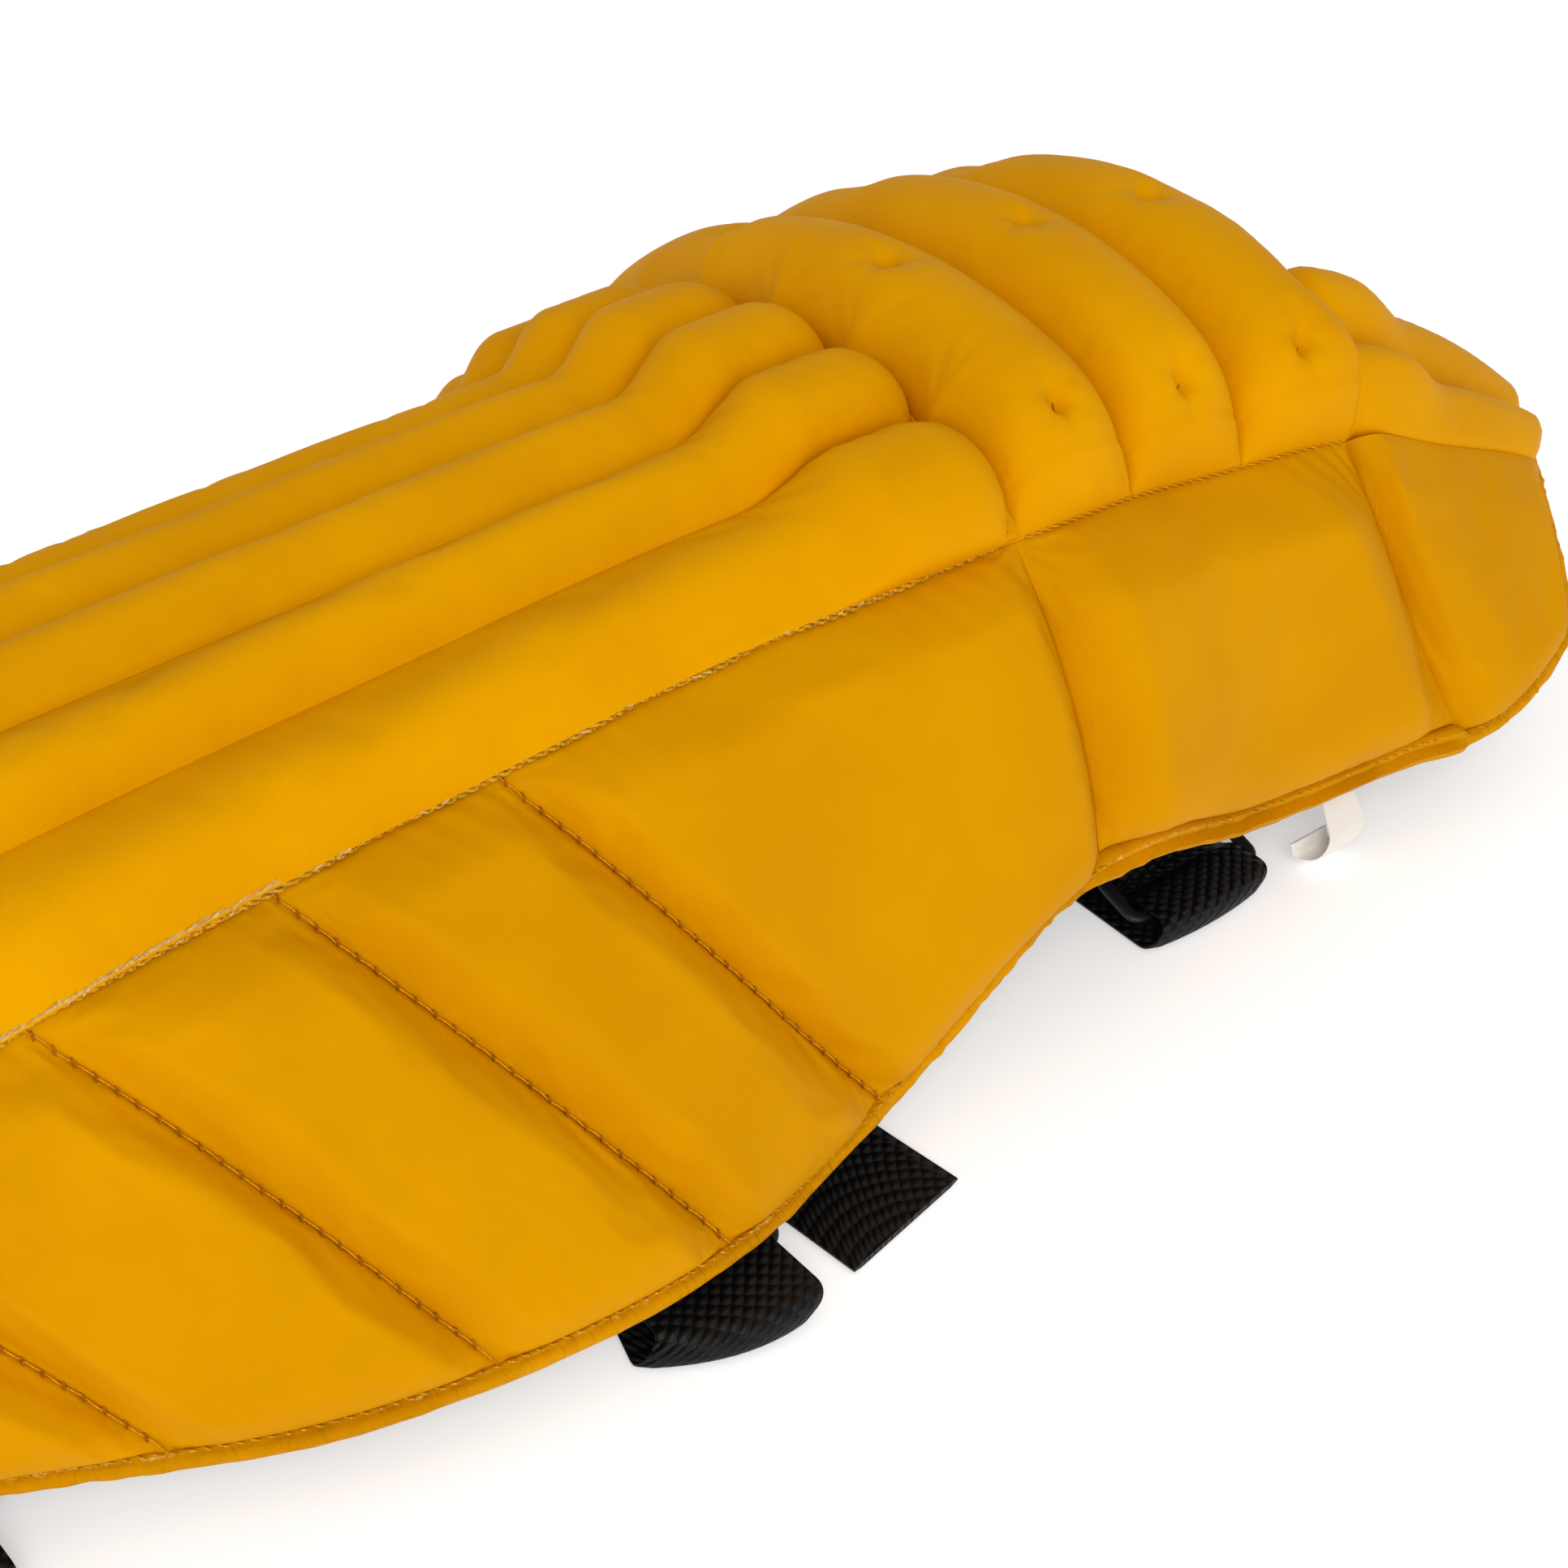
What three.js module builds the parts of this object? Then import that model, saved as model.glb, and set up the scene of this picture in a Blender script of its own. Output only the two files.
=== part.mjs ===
// A cricket batting pad lying on its back, face up, in millimetres, +Z up.
// s runs along the pad from the foot to the top, t across its face from the middle rib
// (negative towards the outer wing), and h outwards from the outside of the lining.
import * as THREE from 'three';

// Driving lengths along the pad
const shinLength = 400;
const rollPitch = 46;
const rollCount = 3;
const kneeTop = shinLength + rollCount * rollPitch;
const padLength = 683;
const footArch = { rise: 62, half: 112 };
const topCorner = { drop: 38, reach: 110 };

// How the pad lies: turned towards its shorter inner wing, its crest this far above the floor
const restTurn = THREE.MathUtils.degToRad(18);
const crestHeight = 144;

// The bend of the spine over the knee
const bendRows = [
  { s: 440, degrees: 0 },
  { s: 470, degrees: 6 },
  { s: 505, degrees: 6 },
  { s: 538, degrees: 16 },
  { s: 560, degrees: 27 },
  { s: 600, degrees: 36 },
  { s: 650, degrees: 46 },
];
const spineStep = 2;

// One row for each section: the face's radius and half its arc, the outer wing's slope at its
// seam and edge with its width, and the inner wing's slope and width
const sections = [
  { s: 0, radius: 98, half: 116, seamSlope: 90, edgeSlope: 90, outer: 61, innerSlope: 40, inner: 50 },
  { s: 80, radius: 100, half: 112, seamSlope: 92, edgeSlope: 92, outer: 92, innerSlope: 39, inner: 60 },
  { s: 160, radius: 103, half: 106, seamSlope: 76, edgeSlope: 77, outer: 118, innerSlope: 38, inner: 68 },
  { s: 240, radius: 110, half: 104, seamSlope: 72, edgeSlope: 74, outer: 129, innerSlope: 38, inner: 72 },
  { s: 320, radius: 137, half: 107, seamSlope: 83, edgeSlope: 88, outer: 127, innerSlope: 37, inner: 73 },
  { s: 400, radius: 155, half: 114, seamSlope: 72, edgeSlope: 103, outer: 93, innerSlope: 36, inner: 72 },
  { s: 470, radius: 126, half: 111, seamSlope: 82, edgeSlope: 98, outer: 99, innerSlope: 31, inner: 74 },
  { s: 538, radius: 132, half: 113, seamSlope: 82, edgeSlope: 97, outer: 96, innerSlope: 26, inner: 66 },
  { s: 600, radius: 126, half: 106, seamSlope: 76, edgeSlope: 84, outer: 79, innerSlope: 27, inner: 46 },
  { s: 683, radius: 150, half: 85, seamSlope: 65, edgeSlope: 68, outer: 25, innerSlope: 28, inner: 14 },
];

// Ribs across the face: the shin's two outermost are its widest, the top's are its narrowest
const shinRibWidths = [36, 31, 31, 31, 31, 31, 36];
const topRibWidths = [24, 33, 37, 38, 37, 33, 24];

// Padding heights over the lining
const seamGap = 0.5;
const footGap = 2.5;
const edgeGap = 4.8;
const foldGap = 1.2;
const baseHeight = 1.8;
const seamHeight = 3.5;
const ribRise = 15;
const lobe = { start: 338, peak: 376, rise: 25, end: 9 };
const rollRises = [35, 35, 32];
const rollGroove = 22;
const kneeSideRise = 17;
const outerWingRise = 15;
const innerWingRise = 12;
const topRibRise = 14;
const topSideRise = 12;

// How soon each kind of filling stands up from its seams: a higher power is fuller
const fullness = {
  rib: 2.4,
  roll: 2.2,
  rollEnds: 5,
  kneeSide: 4,
  wing: 3,
  top: 3,
  bolsterEnds: 4,
  bolster: 3,
};

// Facets of each kind of piece, along and across
const facets = {
  rib: [11, 4],
  roll: [4, 14],
  kneeSide: [6, 6],
  outerWing: [5, 6],
  innerWing: [5, 3],
  topRib: [5, 3],
  topSide: [5, 4],
  shinBolster: [7, 4],
  kneeBolster: [4, 9],
};

// Slanting seams of the outer wing, nearest the foot first: where each leaves the rib seam and
// where it meets the edge; the inner wing's seams go straight across
const outerSeams = [
  { rib: 46, edge: 120 },
  { rib: 122, edge: 193 },
  { rib: 185, edge: 260 },
  { rib: 247, edge: 323 },
];
const innerSeams = [110, 205, 300];
// The knee's side panels fill the space between shin and top; the outer one is set further up at its edge
const kneeSideStart = { outer: 406, inner: shinLength };
const kneeSideEnd = { outer: 576, inner: kneeTop };

// Lining, binding and the black bolsters inside
const liningThickness = 3;
const binding = { near: 1.2, far: 5.4, below: -3.4, above: 4.2, mitreLimit: 0.6 };
const bolsterTop = -4.4;
const bolsterRim = 2;
const shinBolster = { start: 95, end: 372, centre: 40, width: 52, depth: 11 };
const kneeBolster = { start: 412, end: 528, reach: 76, depth: 12 };

// Straps: webbing, plastic loops and the tabs that hold them
const webbing = { width: 42, thickness: 1.8 };
const loopSize = { width: 52, depth: 20, bar: 4, corner: 3, thickness: 2.4 };
const loopTilt = THREE.MathUtils.degToRad(18);
const layer = { floor: webbing.thickness / 2, second: 3.6, overBar: 7.7, bar: 4.4 };
const tailLength = 105;
const barInside = 6;
const floorStep = 2;
const ramp = { foot: 40, top: 14 };
const barSlack = 5;
const strapBend = 12;
const tab = { width: 40, thickness: 1.6, foot: 20, sewn: 34, bend: 2 };
const tabTurn = { gap: 1, rise: 2, lift: 1, back: 4, step: 3 };
const tabLayers = { inner: 0, outer: 1.4 };
// The calf strap's long tail turns back twice: shares of its shift sideways, and how far in each turn is
const tailTurns = { back: 0.5, over: 0.8, down: 0.93, overIn: 44, downIn: 18, endIn: 10, endSkew: 0.2 };
const cornerShare = 0.48;
const cornerSteps = 3;
const sewnGap = 1.9;
const sewnEnd = { top: 46, bottom: 16 };
const strapRows = [
  { name: 'ankle', s: 62, tailShift: 0, poke: 13, taper: 6, skew: 0 },
  { name: 'calf', s: 258, tailShift: 55, poke: 15, taper: 13, skew: -8 },
  { name: 'knee', s: 469, tailShift: 0, poke: 2, taper: 0, skew: -7 },
];
// The care label: sewn inside, out from under the edge by reach, folded at its foot
const label = {
  s: 523, width: 16, thickness: 0.7, layers: 2, sewn: 12, under: 7.5, reach: 3, foot: 4, fold: 1.8, back: 3,
};

const colours = {
  leather: '#e09a0c',
  lining: '#121212',
  webbing: '#0c0c0c',
  plastic: '#101010',
  tape: '#dad6cd',
};
const finish = { leather: 0.5, lining: 0.75, webbing: 0.85, plastic: 0.4, tape: 0.8 };

// A column of a table at s, smooth through its rows
function columnAt(rows, column, s) {
  const last = rows.length - 1;
  if (s <= rows[0].s) return rows[0][column];
  if (s >= rows[last].s) return rows[last][column];
  const i = rows.findIndex((row) => row.s > s) - 1;
  const slope = (k) => {
    const before = rows[Math.max(k - 1, 0)];
    const after = rows[Math.min(k + 1, last)];
    return (after[column] - before[column]) / (after.s - before.s);
  };
  const span = rows[i + 1].s - rows[i].s;
  const x = (s - rows[i].s) / span;
  const from = rows[i][column];
  const to = rows[i + 1][column];
  const ease = x * x * (3 - 2 * x);
  const leave = x * (1 - x) * (1 - x) * span * slope(i);
  const arrive = x * x * (1 - x) * span * slope(i + 1);
  return from + (to - from) * ease + leave - arrive;
}

// Bend angle of the spine at s, straight between its rows
function bendAt(s) {
  const last = bendRows[bendRows.length - 1];
  if (s <= bendRows[0].s) return 0;
  if (s >= last.s) return THREE.MathUtils.degToRad(last.degrees);
  const i = bendRows.findIndex((row) => row.s > s) - 1;
  const x = (s - bendRows[i].s) / (bendRows[i + 1].s - bendRows[i].s);
  return THREE.MathUtils.degToRad(THREE.MathUtils.lerp(bendRows[i].degrees, bendRows[i + 1].degrees, x));
}

// Place of the spine at s, summed along its bend
function spineAt(s) {
  const bendStart = bendRows[0].s;
  let x = Math.min(s, bendStart);
  let z = 0;
  for (let at = bendStart; at < s; at += spineStep) {
    const step = Math.min(spineStep, s - at);
    const angle = bendAt(at + step / 2);
    x += step * Math.cos(angle);
    z -= step * Math.sin(angle);
  }
  return { x, z, angle: bendAt(s) };
}

// Half section of the face and one wing: how far out, how far down each goes and the slope there
function sectionAt(s, t) {
  const radius = columnAt(sections, 'radius', s);
  const half = columnAt(sections, 'half', s);
  const across = Math.abs(t);
  const faceAngle = Math.min(across, half) / radius;
  const out = radius * Math.sin(faceAngle);
  const faceDown = radius * (1 - Math.cos(faceAngle));
  if (across <= half) return { out, faceDown, wingDown: 0, slope: faceAngle };
  const outer = t < 0;
  const seamSlope = THREE.MathUtils.degToRad(columnAt(sections, outer ? 'seamSlope' : 'innerSlope', s));
  const edgeSlope = THREE.MathUtils.degToRad(columnAt(sections, outer ? 'edgeSlope' : 'innerSlope', s));
  const width = columnAt(sections, outer ? 'outer' : 'inner', s);
  const slope = seamSlope + (edgeSlope - seamSlope) * (across - half) / width;
  const middle = (seamSlope + slope) / 2;
  return {
    out: out + (across - half) * Math.cos(middle),
    faceDown,
    wingDown: (across - half) * Math.sin(middle),
    slope,
  };
}

// The carrier surface of the pad: its face tilts with the spine, its wings hang from the face
function carrier(s, t, h) {
  const section = sectionAt(s, t);
  const spine = spineAt(s);
  const side = t < 0 ? -1 : 1;
  const y = side * (section.out + h * Math.sin(section.slope));
  const lift = h * Math.cos(section.slope);
  const onFace = section.wingDown === 0;
  const faceDown = section.faceDown - (onFace ? lift : 0);
  const wingDown = section.wingDown - (onFace ? 0 : lift);
  const x = spine.x - faceDown * Math.sin(spine.angle);
  return new THREE.Vector3(x, y, spine.z - faceDown * Math.cos(spine.angle) - wingDown);
}

const halfAt = (s) => columnAt(sections, 'half', s);
const outerEdge = (s) => -(halfAt(s) + columnAt(sections, 'outer', s));
const innerEdge = (s) => halfAt(s) + columnAt(sections, 'inner', s);

// Foot arch and rounded top of the outline
function footAt(t) {
  if (Math.abs(t) >= footArch.half) return 0;
  return footArch.rise * Math.cos((Math.PI * t) / (2 * footArch.half)) ** 2;
}
const topAt = (t) => padLength - topCorner.drop * Math.min((t / topCorner.reach) ** 2, 1);

const materials = new Map();
function materialFor(kind) {
  if (!materials.has(kind)) {
    const settings = { color: colours[kind], roughness: finish[kind], metalness: 0 };
    materials.set(kind, new THREE.MeshStandardMaterial({ ...settings, name: kind }));
  }
  return materials.get(kind).clone();
}

// A closed piece: a divided box whose sides u, v and w, each 0 to 1, are placed by a function
function piece(name, kind, along, across, place) {
  const geometry = new THREE.BoxGeometry(1, 1, 1, along, across, 1);
  geometry.translate(0.5, 0.5, 0.5);
  const corners = geometry.attributes.position;
  for (let i = 0; i < corners.count; i += 1) {
    const point = place(corners.getX(i), corners.getY(i), corners.getZ(i));
    corners.setXYZ(i, point.x, point.y, point.z);
  }
  geometry.computeVertexNormals();
  const mesh = new THREE.Mesh(geometry, materialFor(kind));
  mesh.name = name;
  return mesh;
}

// A padded piece on the lining: area gives s and t at u and v, rise the height of its filling
function padded(name, [along, across], area, rise) {
  return piece(name, 'leather', along, across, (u, v, w) => {
    const { s, t } = area(u, v);
    return carrier(s, t, w > 0.5 ? rise(u, v, s, t) : baseHeight);
  });
}

// Filling that stands up from seamHeight at the edges, sooner with a higher power
const swell = (x, power) => 1 - Math.abs(2 * x - 1) ** power;
function puff(u, v, top, power) {
  const share = Math.sqrt(swell(u, power) * swell(v, power));
  return seamHeight + (top - seamHeight) * share;
}
const { lerp, smoothstep } = THREE.MathUtils;

// Edges of the ribs as shares of the face's half arc
function ribEdges(widths) {
  const whole = widths.reduce((sum, width) => sum + width, 0);
  const edges = [-1];
  for (const width of widths) edges.push(edges[edges.length - 1] + (2 * width) / whole);
  return edges;
}

// A lengthwise rib between two shares of the half arc
function ribArea(from, to, start, end) {
  return (u, v) => {
    const rough = lerp(start(0), end(0), u);
    const across = halfAt(rough) * lerp(from, to, v);
    const s = lerp(start(across) + footGap, end(across) - seamGap, u);
    const half = halfAt(s);
    return { s, t: lerp(half * from + seamGap, half * to - seamGap, v) };
  };
}

function shinRibRise(u, v, s) {
  const grow = smoothstep(s, lobe.start, lobe.peak);
  const fall = smoothstep(s, lobe.peak, shinLength);
  const top = ribRise + (lobe.rise - ribRise) * grow - (lobe.rise - lobe.end) * fall;
  const footEnd = Math.min(1, u * facets.rib[0]);
  return lerp(seamHeight, puff(0.5, v, top, fullness.rib), footEnd);
}

const shinEdges = ribEdges(shinRibWidths);
const topEdges = ribEdges(topRibWidths);
const shell = new THREE.Group();

for (let i = 0; i < shinRibWidths.length; i += 1) {
  const area = ribArea(shinEdges[i], shinEdges[i + 1], footAt, () => shinLength);
  shell.add(padded(`shin_rib_${i + 1}`, facets.rib, area, shinRibRise));
}

['lower', 'middle', 'upper'].forEach((place, i) => {
  const start = shinLength + i * rollPitch;
  const area = (u, v) => {
    const s = lerp(start + seamGap, start + rollPitch - seamGap, u);
    const half = halfAt(s) - seamGap;
    return { s, t: lerp(-half, half, v) };
  };
  const rise = (u, v) => {
    const across = swell(v, fullness.rollEnds);
    const groove = lerp(seamHeight, rollGroove, across);
    return groove + (rollRises[i] - rollGroove) * across * Math.sqrt(swell(u, fullness.roll));
  };
  shell.add(padded(`knee_roll_${place}`, facets.roll, area, rise));
});

// Side pieces lie between the face's edge and the pad's edge, s being mixed from the seams there
function sideArea(side, ribFrom, ribTo, edgeFrom, edgeTo) {
  const edgeOf = side < 0 ? outerEdge : innerEdge;
  const inset = side < 0 ? seamGap : foldGap;
  return (u, v) => {
    const w = side < 0 ? 1 - v : v;
    const s = lerp(lerp(ribFrom, edgeFrom, w) + seamGap, lerp(ribTo, edgeTo, w) - seamGap, u);
    const seam = side * (halfAt(s) + inset);
    const edge = edgeOf(s) - side * edgeGap;
    return { s, t: lerp(seam, edge, w) };
  };
}
const sideRise = (top, power) => (u, v) => puff(u, v, top, power);

for (const [name, side] of [['outer', -1], ['inner', 1]]) {
  const area = sideArea(side, shinLength, kneeTop, kneeSideStart[name], kneeSideEnd[name]);
  shell.add(padded(`knee_side_${name}`, facets.kneeSide, area, sideRise(kneeSideRise, fullness.kneeSide)));
}

const outerBounds = [{ rib: 0, edge: 0 }, ...outerSeams, { rib: shinLength, edge: kneeSideStart.outer }];
for (let i = 0; i + 1 < outerBounds.length; i += 1) {
  const [from, to] = [outerBounds[i], outerBounds[i + 1]];
  const area = sideArea(-1, from.rib, to.rib, from.edge, to.edge);
  shell.add(padded(`outer_wing_${i + 1}`, facets.outerWing, area, sideRise(outerWingRise, fullness.wing)));
}

const innerBounds = [0, ...innerSeams, shinLength];
for (let i = 0; i + 1 < innerBounds.length; i += 1) {
  const [from, to] = [innerBounds[i], innerBounds[i + 1]];
  const area = sideArea(1, from, to, from, to);
  shell.add(padded(`inner_wing_${i + 1}`, facets.innerWing, area, sideRise(innerWingRise, fullness.wing)));
}

for (let i = 0; i < topRibWidths.length; i += 1) {
  const area = ribArea(topEdges[i], topEdges[i + 1], () => kneeTop, topAt);
  const rise = (u, v) => puff(u, v, topRibRise, fullness.top);
  shell.add(padded(`top_rib_${i + 1}`, facets.topRib, area, rise));
}
for (const [name, side] of [['outer', -1], ['inner', 1]]) {
  const ribEnd = topAt(halfAt(padLength));
  const edgeEnd = topAt(side < 0 ? outerEdge(padLength) : innerEdge(padLength));
  const area = sideArea(side, kneeTop, ribEnd, kneeSideEnd[name], edgeEnd);
  shell.add(padded(`top_side_${name}`, facets.topSide, area, sideRise(topSideRise, fullness.top)));
}

// Lining: columns meet the two rib seams, so its creases follow them
const liningRows = 22;
const liningColumns = { outer: 5, face: 12, inner: 3 };
const liningAcross = liningColumns.outer + liningColumns.face + liningColumns.inner;
function liningAt(u, v) {
  const column = v * liningAcross;
  const acrossAt = (s) => {
    const half = halfAt(s);
    if (column <= liningColumns.outer) return lerp(outerEdge(s), -half, column / liningColumns.outer);
    const past = column - liningColumns.outer;
    if (past <= liningColumns.face) return lerp(-half, half, past / liningColumns.face);
    return lerp(half, innerEdge(s), (past - liningColumns.face) / liningColumns.inner);
  };
  const rough = acrossAt(lerp(0, padLength, u));
  const s = lerp(footAt(rough), topAt(rough), u);
  return { s, t: acrossAt(s) };
}
const lining = piece('back_lining', 'lining', liningRows, liningAcross, (u, v, w) => {
  const { s, t } = liningAt(u, v);
  return carrier(s, t, w > 0.5 ? 0 : -liningThickness);
});
shell.add(lining);

// Binding: a strip round the outline of the lining, leg by leg, its ends meeting on the inner edge
const outlineLegs = [
  { u: 0.5, v: 1, steps: 12 },
  { u: 0, v: 1, steps: 22 },
  { u: 0, v: 0, steps: 22 },
  { u: 1, v: 0, steps: 14 },
  { u: 1, v: 1, steps: 12 },
  { u: 0.5, v: 1, steps: 1 },
];
function outlinePlaces() {
  const places = [];
  outlineLegs.slice(0, -1).forEach((leg, i) => {
    const next = outlineLegs[i + 1];
    for (let k = 0; k < leg.steps; k += 1) {
      const share = k / leg.steps;
      places.push(liningAt(lerp(leg.u, next.u, share), lerp(leg.v, next.v, share)));
    }
  });
  return places;
}
const outline = outlinePlaces();
const bindingSteps = outline.length - 1;
shell.add(piece('edge_binding', 'leather', bindingSteps, 1, (u, v, w) => {
  const i = Math.round(u * bindingSteps);
  const here = outline[i];
  const foot = carrier(here.s, here.t, 0);
  const before = outline[(i + outline.length - 1) % outline.length];
  const after = outline[(i + 1) % outline.length];
  const arrive = foot.clone().sub(carrier(before.s, before.t, 0)).normalize();
  const leave = carrier(after.s, after.t, 0).sub(foot).normalize();
  const tangent = arrive.clone().add(leave).normalize();
  const normal = carrier(here.s, here.t, 1).sub(foot);
  const sideways = new THREE.Vector3().crossVectors(tangent, normal).normalize();
  const spread = lerp(binding.far, binding.near, v) / Math.max(tangent.dot(leave), binding.mitreLimit);
  return carrier(here.s, here.t, lerp(binding.below, binding.above, w)).addScaledVector(sideways, spread);
}));

// Bolsters on the inside
function bolster(name, [along, across], area, depth) {
  return piece(name, 'lining', along, across, (u, v, w) => {
    const { s, t } = area(u, v);
    const swelling = Math.sqrt(swell(u, fullness.bolsterEnds) * swell(v, fullness.bolster));
    const belly = bolsterTop - bolsterRim - (depth - bolsterRim) * swelling;
    return carrier(s, t, w > 0.5 ? bolsterTop : belly);
  });
}
for (const [name, side] of [['outer', -1], ['inner', 1]]) {
  const middle = side * shinBolster.centre;
  const area = (u, v) => ({
    s: lerp(shinBolster.start, shinBolster.end, u),
    t: middle + (v - 0.5) * shinBolster.width,
  });
  shell.add(bolster(`shin_bolster_${name}`, facets.shinBolster, area, shinBolster.depth));
}
const kneeBolsterArea = (u, v) => ({
  s: lerp(kneeBolster.start, kneeBolster.end, u),
  t: lerp(-kneeBolster.reach, kneeBolster.reach, v),
});
shell.add(bolster('knee_bolster', facets.kneeBolster, kneeBolsterArea, kneeBolster.depth));

// The shell lies turned; the floor is at zero
shell.rotation.x = -restTurn;
shell.position.z = crestHeight;
shell.updateMatrix();
const onFloor = (s, t, h) => carrier(s, t, h).applyMatrix4(shell.matrix);

// A ribbon's middle line along corner points, each corner rounded by up to a bend
function ribbonPath(corners, bend) {
  const points = [corners[0].clone()];
  for (let i = 1; i + 1 < corners.length; i += 1) {
    const [before, here, after] = [corners[i - 1], corners[i], corners[i + 1]];
    const shorter = Math.min(before.distanceTo(here), here.distanceTo(after));
    const trim = Math.min(cornerShare * shorter, bend);
    const enter = here.clone().add(before.clone().sub(here).setLength(trim));
    const leave = here.clone().add(after.clone().sub(here).setLength(trim));
    points.push(...new THREE.QuadraticBezierCurve3(enter, here, leave).getPoints(cornerSteps));
  }
  points.push(corners[corners.length - 1].clone());
  return points;
}

// A ribbon across X: cornersAt gives the corner points of the edge at an offset from its middle
function ribbon(name, kind, size, bend, cornersAt) {
  const rims = [size.width / 2, -size.width / 2].map((offset) => ribbonPath(cornersAt(offset), bend));
  const steps = rims[0].length - 1;
  return piece(name, kind, steps, 1, (u, v, w) => {
    const points = rims[v > 0.5 ? 1 : 0];
    const i = Math.round(u * steps);
    const tangent = points[Math.min(i + 1, steps)].clone().sub(points[Math.max(i - 1, 0)]);
    const normal = new THREE.Vector3(0, -tangent.z, tangent.y).normalize();
    return points[i].clone().addScaledVector(normal, (w - 0.5) * size.thickness);
  });
}

// A plastic loop: a rounded frame lying over the strap's tail, tilted up under the wing
function loopFrame(name, x, barY) {
  const { width, depth, bar, corner, thickness } = loopSize;
  const [halfX, halfY] = [width / 2, depth / 2];
  const outline = new THREE.Shape([
    new THREE.Vector2(corner - halfX, -halfY),
    new THREE.Vector2(halfX - corner, -halfY),
    new THREE.Vector2(halfX, corner - halfY),
    new THREE.Vector2(halfX, halfY - corner),
    new THREE.Vector2(halfX - corner, halfY),
    new THREE.Vector2(corner - halfX, halfY),
    new THREE.Vector2(-halfX, halfY - corner),
    new THREE.Vector2(-halfX, corner - halfY),
  ]);
  const [slotX, slotY] = [halfX - bar, halfY - bar];
  outline.holes.push(new THREE.Path([
    new THREE.Vector2(-slotX, -slotY),
    new THREE.Vector2(-slotX, slotY),
    new THREE.Vector2(slotX, slotY),
    new THREE.Vector2(slotX, -slotY),
  ]));
  const geometry = new THREE.ExtrudeGeometry(outline, { depth: thickness, bevelEnabled: false });
  geometry.translate(0, (depth - bar) / 2, -thickness / 2);
  const mesh = new THREE.Mesh(geometry, materialFor('plastic'));
  mesh.name = name;
  mesh.rotation.x = loopTilt;
  mesh.position.set(x, barY, layer.bar);
  return mesh;
}

// How far inside the lining a strap's webbing, a tab or the label lies, by layers already there
const insideBy = (size, layers) => -liningThickness - sewnGap - size.thickness * (layers + 0.5);

const straps = new THREE.Group();
const point = (x, y, z) => new THREE.Vector3(x, y, z);
for (const row of strapRows) {
  const edge = onFloor(row.s, outerEdge(row.s), 0);
  const barY = edge.y + barInside;
  const tailY = barY + tailLength;
  const reach = loopSize.depth - loopSize.bar;
  const anchorY = barY + reach * Math.cos(loopTilt);
  const anchorZ = layer.bar + reach * Math.sin(loopTilt);

  // The strap: sewn inside the inner wing, along the floor, over the free bar, back underneath
  const strapCorners = (offset) => {
    const s = row.s + offset;
    const x = edge.x + offset;
    const inside = insideBy(webbing, 0);
    const foldY = edge.y - row.poke + row.taper * (0.5 - offset / webbing.width);
    const sewnFoot = onFloor(s, innerEdge(s) - sewnEnd.bottom, inside);
    const corners = [
      onFloor(s, innerEdge(s) - sewnEnd.top, inside),
      sewnFoot,
      point(x, sewnFoot.y - floorStep, layer.floor),
      point(x, tailY + ramp.foot, layer.floor),
      point(x, tailY + ramp.top, layer.second),
      point(x, anchorY - barSlack, layer.second),
      point(x, barY + barSlack, layer.overBar),
      point(x, foldY, layer.overBar),
      point(x + row.skew, foldY, layer.floor),
    ];
    const { tailShift } = row;
    if (tailShift === 0) return [...corners, point(x + row.skew, tailY, layer.floor)];
    return [
      ...corners,
      point(x + tailShift * tailTurns.back, tailY, layer.floor),
      point(x + tailShift * tailTurns.back, tailY, layer.overBar),
      point(x + tailShift * tailTurns.over, barY + tailTurns.overIn, layer.overBar),
      point(x + tailShift * tailTurns.down, barY + tailTurns.downIn, layer.floor),
      point(x + tailShift, edge.y - row.poke + tailTurns.endIn + tailTurns.endSkew * offset, layer.floor),
    ];
  };
  straps.add(ribbon(`${row.name}_strap`, 'webbing', webbing, strapBend, strapCorners));
  straps.add(loopFrame(`${row.name}_loop`, edge.x, barY));

  // The tab: sewn to the lining, round the loop's inner bar and back up
  const clear = loopSize.bar / 2 + tabTurn.gap + tab.thickness / 2;
  const under = loopSize.thickness / 2 + tabTurn.gap + tab.thickness / 2;
  const tabCorners = (offset) => {
    const s = row.s + offset;
    const x = edge.x + offset;
    const sewnFoot = outerEdge(s) + tab.foot;
    const sewnTop = sewnFoot + tab.sewn;
    return [
      onFloor(s, sewnTop, insideBy(tab, tabLayers.inner)),
      onFloor(s, sewnFoot, insideBy(tab, tabLayers.inner)),
      point(x, anchorY - clear, anchorZ + tabTurn.rise),
      point(x, anchorY - clear, anchorZ - under),
      point(x, anchorY + clear, anchorZ - under + tabTurn.lift),
      point(x, anchorY + clear, anchorZ + tabTurn.back),
      onFloor(s, sewnFoot + tabTurn.step, insideBy(tab, tabLayers.outer)),
      onFloor(s, sewnTop, insideBy(tab, tabLayers.outer)),
    ];
  };
  straps.add(ribbon(`${row.name}_tab`, 'webbing', tab, tab.bend, tabCorners));
}

// The care label: a folded tape that hangs out from under the edge beside the knee
const labelEdge = onFloor(label.s, outerEdge(label.s), 0);
straps.add(ribbon('care_label', 'tape', label, tab.bend, (offset) => {
  const s = label.s + offset;
  const x = labelEdge.x + offset;
  const inside = insideBy(label, label.layers);
  const footY = labelEdge.y - label.reach;
  return [
    onFloor(s, outerEdge(s) + label.sewn, inside),
    onFloor(s, outerEdge(s) - label.under, inside),
    point(x, footY, label.foot),
    point(x, footY + label.fold, label.foot - label.fold),
    point(x, labelEdge.y + label.back, label.foot + label.reach),
  ];
}));

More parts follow.
